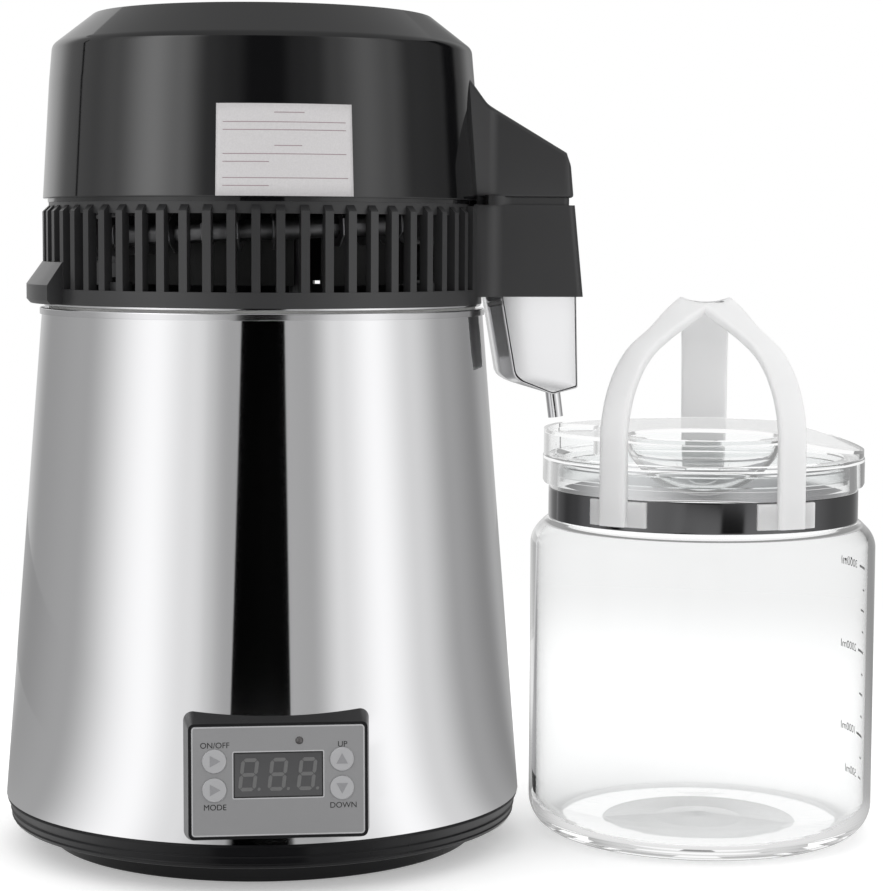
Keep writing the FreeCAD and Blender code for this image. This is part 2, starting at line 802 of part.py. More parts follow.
def fan_motor():
    """Motor can with its lamination stack and shaft."""
    can = turned([(0, 325), (21, 325), (24, 328), (24, 349.6), (0, 349.6)])
    stack = block(-28, 28, -20, 20, 332, 344)
    shaft = rod(SHAFT_R, ROTOR_Z - 1.0, 326)
    return joined(can, [stack, shaft])


def fan_rotor():
    """Seven pitched blades on a bored hub."""
    z = ROTOR_Z
    hub = turned([(0, z), (14, z), (15.5, z + 1.5), (15.5, z + ROTOR_H), (0, z + ROTOR_H)])
    blade = block(12, ROTOR_TIP_R, -13, 13, -0.8, 0.8)
    blade = blade.common(rod(ROTOR_TIP_R, -3, 3))
    blade.rotate(ZERO, vec(1, 0, 0), 27)
    blade.translate(vec(0, 0, z + ROTOR_H / 2))
    rotor = joined(hub, around(blade, BLADES))
    return rotor.cut(rod(SHAFT_R + 0.05, z - 1, z + ROTOR_H + 1))


# ---------------------------------------------------------------- nozzle
def cover_outline(wall, reach):
    """Front view of the nozzle cover; reach widens it towards the body on its deeper middle part."""
    low = COVER_BOTTOM_Z + wall
    return [
        (104.6 - reach + wall, ARM_FLOOR_Z + (1 if wall else 0)),
        (111.0 - reach + wall, 208.6 + wall),
        (114.5 - reach * 0.8 + wall, 205.9 + wall),
        (128.6, low),
        (140.0 - wall, 203.6 + wall),
        (139.0 - wall, ARM_FLOOR_Z + (1 if wall else 0)),
    ]


def nozzle_cover():
    """Folded steel shroud under the arm, boat-shaped below, with a hole for the outlet tube."""
    made = []
    for wall in (0.0, SHEET):
        wires = []
        for y, reach in ((-COVER_HALF_W, 0.0), (-COVER_INNER_HALF_W, 4.6), (COVER_INNER_HALF_W, 4.6), (COVER_HALF_W, 0.0)):
            shift = wall if y < 0 else -wall
            face = outline(cover_outline(wall, reach), "xz")
            face.translate(vec(0, y + shift, 0))
            wires.append(face.OuterWire)
        made.append(Part.makeLoft(wires, True, True))
    shroud = made[0].cut(made[1])
    return shroud.cut(leaning_rod(TUBE_R + 0.15, 3.0))


def leaning_rod(radius, past):
    """Rod on the outlet tube's axis, longer than the tube by past at the lower end."""
    top, tip = vec(*TUBE_TOP), vec(*TUBE_TIP)
    along = (tip - top).normalize()
    return Part.makeCylinder(radius, (tip - top).Length + past, top, along)


def outlet_tube():
    return leaning_rod(TUBE_R, 0.0).cut(leaning_rod(TUBE_BORE, 1.0))


def filter_cup():
    """Cup that hangs in the arm's floor and holds the charcoal."""
    z = ARM_FLOOR_Z + 2
    corners = [
        (0, 213.0),
        (9.6, 213.0),
        (11.2, 222.0),
        (11.2, z),
        (13.6, z),
        (13.6, z + 1.4),
        (10.0, z + 1.4),
        (10.0, 222.5),
        (8.6, 214.5),
        (0, 214.5),
    ]
    cup = turned(corners)
    cup.translate(vec(CUP_X, 0, 0))
    return cup.cut(leaning_rod(TUBE_R, 0.0))


def charcoal_sachet():
    sachet = turned([(0, 224.0), (6.5, 224.0), (9.2, 227.0), (9.2, 233.0), (6.5, 236.0), (0, 236.0)])
    sachet.translate(vec(CUP_X, 0, 0))
    return sachet


# ---------------------------------------------------------------- jug
def on_jug(shape):
    """Moves a shape from the jug's own frame, whose front is -Y, to its place beside the body."""
    shape.rotate(ZERO, UP, JUG_TURN)
    shape.translate(vec(JUG_X, JUG_Y, 0))
    return shape


def glass_jar():
    """Straight-sided jar with a heavy floor, rounded heel, domed shoulder and plain neck."""
    inner_r, bore = JAR_R - JAR_WALL, NECK_R - JAR_WALL
    heel, dome = 15.0, 12.0
    top = SHOULDER_Z + 11.4
    corners = [
        (0, 1.6),
        (44.0, 0),
        (JAR_R, 0, heel),
        (JAR_R, SHOULDER_Z + 4.5, dome),
        (JAR_R - 6.9, top, 3.0),
        (NECK_R, top),
        (NECK_R, NECK_TOP_Z, 1.0),
        (bore, NECK_TOP_Z, 1.0),
        (bore, top - JAR_WALL, 1.0),
        (inner_r - 5.0, top - JAR_WALL, 3.0),
        (inner_r, SHOULDER_Z + 3.2, dome - JAR_WALL),
        (inner_r, JAR_FLOOR, heel - JAR_WALL),
        (44.0, JAR_FLOOR),
        (0, JAR_FLOOR + 1.2),
    ]
    return on_jug(turned(corners))


def neck_band():
    """Steel band round the neck, with three raised lugs that the handle's feet clip over."""
    band = pipe(BAND_R, NECK_R + 0.05, BAND_BOTTOM_Z, BAND_HIGH_Z)
    lugs = [slab_sector(BAND_R - 0.3, LUG_R, a + 3, b - 3, FOOT_Z + 2, FOOT_TOP_Z - 2) for a, b in FOOT_SPANS]
    return on_jug(joined(band, lugs))


def deck_body(radius, top, edge, low):
    """Disc whose top is flat and then slopes down to the right."""
    disc = rod(radius, low, top)
    reach = 100.0
    fall = (DECK_Z - DECK_EDGE_Z) / (DECK_R - DECK_SLOPE_X)
    wedge = side_slab(
        [
            (DECK_SLOPE_X, top),
            (reach, top - (reach - DECK_SLOPE_X) * fall),
            (reach, top + 5),
            (DECK_SLOPE_X, top + 5),
        ],
        -reach,
        reach,
    )
    return disc.cut(wedge)


def well_body(grow):
    """Finger well: short cone from the deck, then a bowl."""
    ball = (WELL_R**2 + WELL_DEPTH**2) / (2 * WELL_DEPTH)
    middle = WELL_RIM_Z - WELL_DEPTH + ball
    low = Part.makeSphere(ball + grow, vec(0, 0, middle)).common(rod(WELL_R + grow, 150, WELL_RIM_Z))
    lift = 1.0 if not grow else -LID_WALL / 2
    cone = Part.makeCone(WELL_R + grow, WELL_R + 3 + grow, DECK_Z - WELL_RIM_Z + lift, vec(0, 0, WELL_RIM_Z))
    made = joined(low, [cone])
    made.translate(vec(0, WELL_Y, 0))
    return made


def jug_lid():
    """Clear lid: skirt outside the neck, plug ring inside it, wedge-shaped deck, inlet, finger well and grip."""
    w = LID_WALL
    base = turned(
        [
            (63.7, LID_SKIRT_Z + 2),
            (65.4, LID_SKIRT_Z + 2),
            (65.4, LID_PLATE_Z - w),
            (LID_R - w, LID_PLATE_Z - w),
            (LID_R - w, LID_SKIRT_Z),
            (LID_R - 0.6, LID_SKIRT_Z),
            (LID_R, LID_SKIRT_Z + 1.2),
            (LID_R, LID_PLATE_Z - 0.5),
            (LID_R - 0.5, LID_PLATE_Z),
            (63.7, LID_PLATE_Z),
        ]
    )
    deck = deck_body(DECK_R, DECK_Z, DECK_EDGE_Z, LID_PLATE_Z - 1)
    hollow = deck_body(DECK_R - w, DECK_Z - w, DECK_EDGE_Z - w, LID_PLATE_Z - 2)
    room = deck_body(DECK_R - w, DECK_Z - w, DECK_EDGE_Z - w, LID_PLATE_Z)
    shell = deck.cut([rod(63.7, LID_PLATE_Z - 3, LID_PLATE_Z + 0.5), room])
    well = well_body(w).common(deck_body(DECK_R - 1, DECK_Z - 1, 0, 150))
    lid = joined(base, [shell, well]).cut([well_body(0.0), inlet_mouth(0.0), inlet_slope()])
    return on_jug(joined(lid, [inlet_funnel(), grip_bar()]))


def inlet_mouth(grow):
    """Opening under the nozzle, a sector between two radii."""
    return slab_sector(50.0 - grow, 69.3 + grow, 165 - grow, 200 + grow, LID_PLATE_Z + 1, DECK_Z + 1)


def inlet_slope():
    """Wedge taken off the plate under the inlet, so that drops run inwards to the neck."""
    z = LID_PLATE_Z
    wedge = outline([(63.0, z - 1.4), (63.7, z - 1.4), (69.3, z), (69.3, z + 1.2), (63.0, z + 1.2)], "xz")
    return spun(wedge.revolve(ZERO, UP, 35), 165)


def inlet_funnel():
    """Low wall round three sides of the inlet that leads drops down into the jug."""
    wall = 1.6
    low, high = LID_PLATE_Z, DECK_Z - 1
    inner = slab_sector(50.0 - wall, 50.0, 165, 200, low, high)
    sides = [slab_sector(48.6, 69.6, 165 - 1.5, 165, low, high), slab_sector(48.6, 69.6, 200, 201.5, low, high)]
    return joined(inner, sides)


def grip_bar():
    """Bar across the well with a round web under it."""
    bar = block(-31.0, 31.0, -2.5, 2.5, WELL_RIM_Z - 2, WELL_RIM_Z + 1.5)
    web = Part.makeCylinder(12.0, 3.0, vec(0, -1.5, WELL_RIM_Z - 1), vec(0, 1, 0))
    web = web.common(block(-13, 13, -3, 3, WELL_RIM_Z - 14, WELL_RIM_Z))
    made = joined(bar, [web])
    made.translate(vec(0, WELL_Y, 0))
    return made


def lid_seal():
    """Silicone ring on the lid's plug, just clear of the jar's bore."""
    low = LID_SKIRT_Z + 3.5
    r = NECK_R - JAR_WALL - 0.1
    return on_jug(turned([(65.4, low), (r, low + 0.6), (r, low + 4.4), (65.4, low + 5)]))


def strap(width):
    """Strap of the handle on the +X side: upright leg, one long bend, then a straight rise to the peak."""
    steep = math.atan((HANDLE_PEAK_Z - HANDLE_EAVE_Z) / (HANDLE_INNER_R + HANDLE_T))
    drop = HANDLE_T / math.cos(steep)
    low = FOOT_Z + 0.2
    inner_eave = HANDLE_PEAK_Z - drop - HANDLE_INNER_R * math.tan(steep)
    corners = [
        (HANDLE_INNER_R, low),
        (HANDLE_INNER_R + HANDLE_T, low),
        (HANDLE_INNER_R + HANDLE_T, HANDLE_EAVE_Z, HANDLE_BEND_R),
        (0, HANDLE_PEAK_Z),
        (0, HANDLE_PEAK_Z - drop),
        (HANDLE_INNER_R, inner_eave, HANDLE_BEND_R - HANDLE_T),
    ]
    return side_slab(corners, -width / 2, width / 2)


def handle_crown():
    """Conical plate that fills the corners between the straps."""
    slope = (HANDLE_PEAK_Z - HANDLE_EAVE_Z) / (HANDLE_INNER_R + HANDLE_T)
    rim = HANDLE_PEAK_Z - slope * CROWN_R
    return turned([(0, CROWN_LOW_Z), (CROWN_R - 1, CROWN_LOW_Z), (CROWN_R, CROWN_LOW_Z + 1), (CROWN_R, rim), (0, HANDLE_PEAK_Z)])


def thumb_dip():
    """Long shallow groove across the crown, from front to rear."""
    bow = (DIP_HALF_W**2 + DIP_DEPTH**2) / (2 * DIP_DEPTH)
    return Part.makeCylinder(bow, 80, vec(0, -40, HANDLE_TOP_Z - DIP_DEPTH + bow), vec(0, 1, 0))


def jug_handle():
    """Three straps that meet in a crown, with feet that lie against the neck band."""
    legs = []
    for angle, width in ((-90 - HANDLE_FRONT_DEG, HANDLE_FRONT_W), (-90 + HANDLE_FRONT_DEG, HANDLE_FRONT_W), (90, HANDLE_REAR_W)):
        legs.append(spun(strap(width), angle))
    feet = [slab_sector(LUG_R + 0.3, FOOT_PLATE_R, a, b, FOOT_Z, FOOT_TOP_Z) for a, b in FOOT_SPANS]
    handle = joined(legs[0], legs[1:] + feet + [handle_crown()])
    return on_jug(handle.cut(thumb_dip()))


# ---------------------------------------------------------------- every node and its maker
NODES = {
    "base_pan": base_pan,
    "foot_pads": foot_pads,
    "base_screws": base_screws,
    "standoffs": standoffs,
    "outer_shell": outer_shell,
    "boiler_pot": boiler_pot,
    "heater_plate": heater_plate,
    "thermostats": thermostats,
    "panel_bezel": panel_bezel,
    "faceplate": faceplate,
    "display_window": display_window,
    "display_module": display_module,
    "lamp_lens": lamp_lens,
    "key_power": lambda: key(-KEY_X, KEY_UP_Z),
    "key_mode": lambda: key(-KEY_X, KEY_LOW_Z),
    "key_plus": lambda: key(KEY_X, KEY_UP_Z),
    "key_minus": lambda: key(KEY_X, KEY_LOW_Z),
    "control_board": control_board,
    "power_inlet": power_inlet,
    "fan_socket": fan_socket,
    "lid_pan": lid_pan,
    "head_seal": head_seal,
    "condenser_coil": condenser_coil,
    "coil_fins": coil_fins,
    "steam_riser": steam_riser,
    "condensate_pipe": condensate_pipe,
    "grille_ring": grille_ring,
    "top_cap": top_cap,
    "dish_studs": dish_studs,
    "lead_gland": lead_gland,
    "motor_bracket": motor_bracket,
    "fan_shroud": fan_shroud,
    "bracket_screws": bracket_screws,
    "fan_motor": fan_motor,
    "fan_rotor": fan_rotor,
    "nozzle_cover": nozzle_cover,
    "outlet_tube": outlet_tube,
    "filter_cup": filter_cup,
    "charcoal_sachet": charcoal_sachet,
    "glass_jar": glass_jar,
    "neck_band": neck_band,
    "jug_lid": jug_lid,
    "lid_seal": lid_seal,
    "jug_handle": jug_handle,
}


def main():
    os.makedirs("parts", exist_ok=True)
    middle = vec(-(X_LOW + X_HIGH) / 2, -(Y_LOW + Y_HIGH) / 2, 0)
    for name, make in NODES.items():
        shape = make()
        shape.translate(middle)
        solids = len(shape.Solids)
        box = shape.BoundBox
        if not shape.isValid() or not solids:
            print("NOT VALID", name)
        print(f"{name:16} solids {solids:3} volume {shape.Volume:10.0f} x {box.XMin:7.1f} {box.XMax:7.1f}"
              f" y {box.YMin:7.1f} {box.YMax:7.1f} z {box.ZMin:6.1f} {box.ZMax:6.1f}")
        shape.exportStep(f"parts/{name}.step")


main()
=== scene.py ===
import json
import math

import bmesh
import bpy
import numpy as np
from mathutils import Euler, Matrix, Vector

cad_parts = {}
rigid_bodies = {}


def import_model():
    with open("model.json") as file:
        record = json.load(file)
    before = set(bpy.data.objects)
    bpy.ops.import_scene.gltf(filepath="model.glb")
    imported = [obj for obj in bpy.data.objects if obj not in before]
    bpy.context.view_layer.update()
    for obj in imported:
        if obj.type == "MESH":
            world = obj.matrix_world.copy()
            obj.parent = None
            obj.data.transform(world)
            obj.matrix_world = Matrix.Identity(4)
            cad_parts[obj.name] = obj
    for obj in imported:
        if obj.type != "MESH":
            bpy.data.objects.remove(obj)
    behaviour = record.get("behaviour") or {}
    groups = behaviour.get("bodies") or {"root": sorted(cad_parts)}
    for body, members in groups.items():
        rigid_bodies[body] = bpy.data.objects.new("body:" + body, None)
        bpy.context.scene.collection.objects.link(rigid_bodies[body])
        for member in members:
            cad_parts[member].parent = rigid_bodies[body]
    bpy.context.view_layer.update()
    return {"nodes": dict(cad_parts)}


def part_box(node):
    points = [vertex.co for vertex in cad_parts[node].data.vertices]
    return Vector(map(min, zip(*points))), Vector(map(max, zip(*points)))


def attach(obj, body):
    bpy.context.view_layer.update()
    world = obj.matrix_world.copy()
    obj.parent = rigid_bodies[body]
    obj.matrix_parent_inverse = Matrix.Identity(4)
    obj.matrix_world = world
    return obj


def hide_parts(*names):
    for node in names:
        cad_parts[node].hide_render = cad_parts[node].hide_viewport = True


bl_info = {
    "name": "Water distiller and jug",
    "version": (1, 1, 0),
    "blender": (4, 5, 0),
    "location": "View3D > Sidebar > Distiller",
    "description": "Builds the finished surfaces of a countertop water distiller and its glass jug",
    "category": "Object",
}

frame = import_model()


def middle_of(node):
    """Plan middle of a CAD node, in metres."""
    low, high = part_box(node)
    return np.array([(low.x + high.x) / 2, (low.y + high.y) / 2, 0.0])


BODY_AXIS = middle_of("outer_shell")
JUG_AXIS = middle_of("glass_jar")
JUG_TURN = math.radians(-13.1)
STEEL_FOOT, STEEL_HEAD = (115.5, 22.3), (98.1, 238.3)  # the cone's radius and height at its two edges
WALL_LEAN = math.atan((STEEL_FOOT[0] - STEEL_HEAD[0]) / (STEEL_HEAD[1] - STEEL_FOOT[1]))
SHEET, PLASTIC = 0.8, 2.4  # thickness of the sheet steel and of the mouldings
PANEL_FRONT, PANEL_HEIGHT = 119.4, 50.0
WINDOW_Z = 2.4
TURN = 2 * math.pi


# ---------------------------------------------------------------- settings
def length(label, note, default):
    """A size in metres, given here in millimetres."""
    looks = {"unit": "LENGTH", "precision": 4}
    return bpy.props.FloatProperty(name=label, description=note, default=default / 1000, **looks)


def tint(label, note, default):
    looks = {"size": 3, "subtype": "COLOR"}
    return bpy.props.FloatVectorProperty(name=label, description=note, default=default, **looks)


class BodySettings(bpy.types.PropertyGroup):
    bottom_radius: length("Bottom radius", "Steel cone's radius at its lower edge", STEEL_FOOT[0])
    top_radius: length("Top radius", "Steel cone's radius at its upper edge", STEEL_HEAD[0])
    bottom_z: length("Lower edge", "Height of the steel's lower edge", STEEL_FOOT[1])
    top_z: length("Upper edge", "Height of the steel's upper edge", STEEL_HEAD[1])
    pot_radius: length("Pot radius", "Inner radius of the boiling pot", 91.2)
    pot_floor: length("Pot floor", "Height of the pot's underside", 88.0)
    steel: tint("Steel", "Colour of the polished steel", (0.80, 0.80, 0.81))
    black: tint("Black", "Colour of the base moulding", (0.008, 0.008, 0.009))


class HeadSettings(bpy.types.PropertyGroup):
    cap_low: length("Cap's lower edge", "Height of the gloss cap's lower edge", 286.8)
    cap_top: length("Cap's top", "Height of the cap's flat top", 367.6)
    label_width: length("Label width", "Width of the blank label round the cap", 57.0)
    label_height: length("Label height", "Height of the blank label", 37.6)
    gloss: tint("Gloss black", "Colour of the cap", (0.006, 0.006, 0.0065))
    satin: tint("Satin black", "Colour of the slatted ring and the arm", (0.029, 0.029, 0.03))
    label: tint("Label", "Colour of the blank label", (0.60, 0.585, 0.59))


class PanelSettings(bpy.types.PropertyGroup):
    digit_height: length("Digit height", "Height of a seven-segment digit", 13.4)
    digit_pitch: length("Digit pitch", "Distance between the digits' middles", 11.9)
    letter_size: length("Letter size", "Size of the printed words", 3.3)
    plate_grey: tint("Faceplate", "Colour of the faceplate", (0.26, 0.26, 0.265))
    key_grey: tint("Keys", "Colour of the keys", (0.40, 0.40, 0.41))
    digit_grey: tint("Digits", "Colour of the unlit digits", (0.145, 0.145, 0.145))
    print_black: tint("Print", "Colour of the printed words", (0.01, 0.01, 0.01))


class JugSettings(bpy.types.PropertyGroup):
    radius: length("Jar radius", "Outer radius of the jar", 78.4)
    wall: length("Glass", "Thickness of the jar's wall", 3.2)
    strap_thickness: length("Strap thickness", "Thickness of the handle's straps", 4.2)
    front_width: length("Front strap", "Width of the two front straps", 13.0)
    rear_width: length("Rear strap", "Width of the rear strap", 22.0)
    handle: tint("Handle", "Colour of the milky handle", (0.9, 0.9, 0.905))
    marks: tint("Marks", "Colour of the printed scale", (0.06, 0.06, 0.06))


class StageSettings(bpy.types.PropertyGroup):
    floor: tint("Floor", "Colour of the floor", (0.9, 0.9, 0.9))
    focal: bpy.props.FloatProperty(name="Lens", description="Focal length", default=99.71, unit="CAMERA")
    sky: bpy.props.FloatProperty(name="Sky", description="Strength of the soft light all round", default=0.87)


# ---------------------------------------------------------------- surfaces
MERGE, CAD_MERGE = 0.000002, 0.00001  # points nearer than this are one, in metres


def linked(name, data):
    """New object at the origin."""
    obj = bpy.data.objects.new(name, data)
    bpy.context.scene.collection.objects.link(obj)
    return obj


def carried(obj, body):
    """Puts an object on its body, where given."""
    if body:
        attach(obj, body)
    return obj


def all_smooth(mesh):
    mesh.polygons.foreach_set("use_smooth", np.ones(len(mesh.polygons), bool))


def add_mesh(name, verts, faces, body=None, slot=None, sharp=35.0, weld=False):
    """Mesh object at the origin from points in metres, smooth except along edges over the angle given.

    With weld, points that coincide are merged and the faces are turned outwards."""
    mesh = bpy.data.meshes.new(name)
    mesh.from_pydata(verts.reshape(-1, 3).tolist(), [], faces)
    mesh.validate()
    if weld:
        work = bmesh.new()
        work.from_mesh(mesh)
        bmesh.ops.remove_doubles(work, verts=work.verts, dist=MERGE)
        bmesh.ops.delete(work, geom=[v for v in work.verts if not v.link_faces], context="VERTS")
        bmesh.ops.recalc_face_normals(work, faces=work.faces)
        work.to_mesh(mesh)
        work.free()
    all_smooth(mesh)
    mesh.set_sharp_from_angle(angle=math.radians(sharp))
    mesh.update()
    return carried(linked(name, mesh), body)


def grid_faces(rows, columns, wrap_rows=False, wrap_columns=True, start=0):
    """Quads of a rows x columns grid of points, closed on itself in either direction where asked."""
    r = np.arange(rows if wrap_rows else rows - 1)
    c = np.arange(columns if wrap_columns else columns - 1)
    i, j = np.meshgrid(r, c, indexing="ij")
    k, m = (i + 1) % rows, (j + 1) % columns
    quads = np.stack([i * columns + j, i * columns + m, k * columns + m, k * columns + j], -1)
    return (quads.reshape(-1, 4) + start).tolist()


def sheet(name, grid, body=None, slot=None, wrap_rows=False, wrap_columns=True, **looks):
    """Mesh of a grid of points (rows x columns x 3)."""
    faces = grid_faces(*grid.shape[:2], wrap_rows, wrap_columns)
    return add_mesh(name, grid, faces, body, slot, **looks)


def thicken(obj, depth):
    """Gives a sheet its thickness, behind the face drawn."""
    wall = obj.modifiers.new("thickness", "SOLIDIFY")
    wall.thickness = depth
    wall.offset = -1.0


def split_edges(obj, degrees):
    obj.modifiers.new("edges", "EDGE_SPLIT").split_angle = math.radians(degrees)


def around(count):
    """Even angles all round, in radians."""
    return np.linspace(0, TURN, count, endpoint=False)


def polar(radius, t, height):
    """Points at x = radius cos t, y = radius sin t."""
    return np.stack(np.broadcast_arrays(radius * np.cos(t), radius * np.sin(t), height), -1)


def upright(outline, depth):
    """Flat outline (u, v) stood up as points (u, depth, v)."""
    return np.stack([outline[:, 0], np.full(len(outline), depth), outline[:, 1]], -1)


def along(path):
    """Unit directions along a polyline."""
    step = np.gradient(path, axis=0)
    return step / np.linalg.norm(step, axis=1)[:, None]


def rounded(corners, arc=7):
    """Polyline through corners (u, v) or (u, v, radius). A radius becomes a tangent arc of arc + 1 points."""
    points = []
    count = len(corners)
    for i, corner in enumerate(corners):
        here = np.array(corner[:2], float)
        if len(corner) < 3 or i in (0, count - 1):
            points.append(here[None])
            continue
        a = np.array(corners[i - 1][:2], float) - here
        b = np.array(corners[i + 1][:2], float) - here
        a, b = a / np.linalg.norm(a), b / np.linalg.norm(b)
        half = math.acos(np.clip(a @ b, -1, 1)) / 2
        centre = here + (a + b) / np.linalg.norm(a + b) * corner[2] / math.sin(half)
        first = here + a * corner[2] / math.tan(half) - centre
        last = here + b * corner[2] / math.tan(half) - centre
        spread = math.pi - 2 * half
        t = np.linspace(0, 1, arc + 1)[:, None]
        bow = (np.sin((1 - t) * spread) * first + np.sin(t * spread) * last) / math.sin(spread)
        points.append(centre + bow)
    return np.concatenate(points)


def shoulders(profile, soft=0.25):
    """Profile with points added just beside each of its own, so that smooth shading stays in the bends."""
    out = [profile[0]]
    for a, b in zip(profile[:-1], profile[1:]):
        step = b - a
        span = np.linalg.norm(step)
        if span > 4 * soft:
            out += [a + step * soft / span, b - step * soft / span]
        out.append(b)
    return np.array(out)


def resampled(points, step):
    """Polyline with its longer runs divided evenly, no part longer than step."""
    parts = [points[:1]]
    for a, b in zip(points[:-1], points[1:]):
        count = max(1, math.ceil(np.linalg.norm(b - a) / step))
        parts.append(a + (b - a) * (np.arange(1, count + 1) / count)[:, None])
    return np.concatenate(parts)


def lathe(name, corners, body, slot, axis=BODY_AXIS, steps=180, closed=False, arc=7, sharp=35.0):
    """Profile (radius, height) in millimetres turned about an axis: x = r cos t, y = r sin t, z = height.

    An open profile starts and ends on the axis, with single points there. A closed one is a ring."""
    profile = shoulders(rounded(corners, arc)) / 1000
    ring = profile if closed else profile[1:-1]
    grid = polar(ring[:, :1], around(steps), ring[:, 1:]).reshape(-1, 3)
    faces = grid_faces(len(ring), steps, wrap_rows=closed)
    if not closed:
        n = len(grid)
        grid = np.concatenate([grid, [[0, 0, profile[0, 1]], [0, 0, profile[-1, 1]]]])
        j = np.arange(steps)
        k = (j + 1) % steps
        top = n - steps
        faces += np.stack([k, j, np.full(steps, n)], -1).tolist()
        faces += np.stack([top + j, top + k, np.full(steps, n + 1)], -1).tolist()
    return add_mesh(name, grid + axis, faces, body, slot, sharp)


def section_lofts(name, lofts, body=None, slot=None, sharp=35.0):
    """Surfaces through closed rings (rings x points x 3, metres) with flat ends, all in one mesh."""
    faces, start = [], 0
    for rings in lofts:
        count, size = rings.shape[:2]
        end = start + count * size
        faces += grid_faces(count, size, start=start)
        faces += [list(range(start, start + size))[::-1], list(range(end - size, end))]
        start = end
    verts = np.concatenate([rings.reshape(-1, 3) for rings in lofts])
    return add_mesh(name, verts, faces, body, slot, sharp, weld=True)


def section_loft(name, rings, *place, **looks):
    """One such surface."""
    return section_lofts(name, [rings], *place, **looks)


def pierced(name, grid, keep, body, slot, more=()):
    """Closed round grid with the faces that are kept, and more faces."""
    faces = np.array(grid_faces(*grid.shape[:2])).reshape(*keep.shape, 4)[keep].tolist()
    return add_mesh(name, grid, [*faces, *more], body, slot, weld=True)


def turn_out(obj, outward):
    """Turns a sheet's faces over where the first doesn't look outward."""
    if obj.data.polygons[0].normal.dot(Vector(outward)) < 0:
        obj.data.flip_normals()


def stitched(name, grids, polygons, body, slot):
    """Open grids (rows x columns x 3) and flat polygons (points x 3), merged where their edges meet."""
    faces, start = [], 0
    for grid in grids:
        rows, columns = grid.shape[:2]
        faces += grid_faces(rows, columns, wrap_columns=False, start=start)
        start += rows * columns
    for polygon in polygons:
        faces.append(list(range(start, start + len(polygon))))
        start += len(polygon)
    verts = np.concatenate([part.reshape(-1, 3) for part in (*grids, *polygons)])
    return add_mesh(name, verts, faces, body, slot, weld=True)


def evaluated_mesh(obj):
    """Mesh of an object with its modifiers or its letters worked out."""
    bpy.context.view_layer.update()
    return bpy.data.meshes.new_from_object(obj.evaluated_get(bpy.context.evaluated_depsgraph_get()))


def united(name, parts, body, sharp):
    """One skin round overlapping closed pieces."""
    for part in parts[1:]:
        joint = parts[0].modifiers.new("join", "BOOLEAN")
        joint.operation = "UNION"
        joint.solver = "EXACT"
        joint.object = part
    mesh = evaluated_mesh(parts[0])
    for part in parts:
        bpy.data.objects.remove(part)
    mesh.name = name
    mesh.validate()
    all_smooth(mesh)
    mesh.set_sharp_from_angle(angle=math.radians(sharp))
    return carried(linked(name, mesh), body)


def round_z(points, degrees):
    """Points turned about Z."""
    c, s = math.cos(math.radians(degrees)), math.sin(math.radians(degrees))
    x, y = points[..., 0], points[..., 1]
    return np.stack([x * c - y * s, x * s + y * c, points[..., 2]], -1)


def jug_place(points):
    """Points about the jug's own axis, front at -Y, in millimetres, put where the jug stands, in metres."""
    return round_z(points, math.degrees(JUG_TURN)) / 1000 + JUG_AXIS


def body_place(points):
    return points / 1000 + BODY_AXIS


def on_wall(angles, heights, radii):
    """Points on an upright round wall; angles are in degrees from the front, positive to the right."""
    t = np.radians(angles)
    return np.stack(np.broadcast_arrays(radii * np.sin(t), -radii * np.cos(t), heights), -1)


# ---------------------------------------------------------------- materials
def blank_material(name):
    made = bpy.data.materials.new(name)
    made.use_nodes = True
    made.node_tree.nodes.clear()
    return made


def new_material(name, **inputs):
    """Material of one shader. Its inputs are named with _ for a space."""
    made = blank_material(name)
    shader = put(made, "BsdfPrincipled", {key.replace("_", " "): value for key, value in inputs.items()})
    put(made, "OutputMaterial", {0: shader.outputs[0]})
    return made, shader


def put(made, kind, inputs=None, **settings):
    """Adds a node to a material or world, sets its plain properties, and sets or links its inputs."""
    node = made.node_tree.nodes.new("ShaderNode" + kind)
    for key, value in settings.items():
        setattr(node, key, value)
    for key, value in (inputs or {}).items():
        if isinstance(value, bpy.types.NodeSocket):
            link(made, value, node.inputs[key])
        else:
            node.inputs[key].default_value = value
    return node


def link(made, output, socket):
    made.node_tree.links.new(output, socket)


def noise(made, scale, detail=3.0, stretch=(1, 1, 1)):
    """Noise value read from the object's own coordinates."""
    mapped = put(made, "Mapping", {"Vector": put(made, "TexCoord").outputs["Object"], "Scale": stretch})
    return put(made, "TexNoise", {"Vector": mapped.outputs[0], "Scale": scale, "Detail": detail}).outputs[0]


def vary(made, shader, socket, source, low, high):
    """Drives a shader socket between two values from a 0 to 1 source."""
    span = {"Value": source, "From Min": 0.3, "From Max": 0.7, "To Min": low, "To Max": high}
    link(made, put(made, "MapRange", span).outputs[0], shader.inputs[socket])


def cloudy(made, shader, source, colour, spread):
    """Base colour that drifts by a small share either way."""
    low, high = ([min(1.0, c * share) for c in colour] for share in (1 - spread, 1 + spread))
    mixed = put(made, "Mix", {"Factor": source, 6: (*low, 1), 7: (*high, 1)}, data_type="RGBA")
    link(made, mixed.outputs[2], shader.inputs["Base Color"])


def bump(made, shader, source, distance):
    rise = put(made, "Bump", {"Height": source, "Distance": distance, "Strength": 1.0})
    link(made, rise.outputs[0], shader.inputs["Normal"])


def steel_polished(name, colour, rough=0.035, metal=1.0):
    """Mirror steel with a faint waviness and slight smears."""
    made, shader = new_material(name, Base_Color=(*colour, 1), Metallic=metal)
    vary(made, shader, "Roughness", noise(made, 9.0, 4.0, (1, 1, 0.35)), rough, rough + 0.03)
    bump(made, shader, noise(made, 14.0, 1.0, (1, 1, 0.3)), 0.00003)
    return made


def steel_satin(name, colour, rough):
    """Brushed metal: fine grain drawn out along the height."""
    made, shader = new_material(name, Base_Color=(*colour, 1), Metallic=1.0)
    vary(made, shader, "Roughness", noise(made, 400.0, 2.0, (1, 1, 0.05)), rough - 0.06, rough + 0.06)
    return made


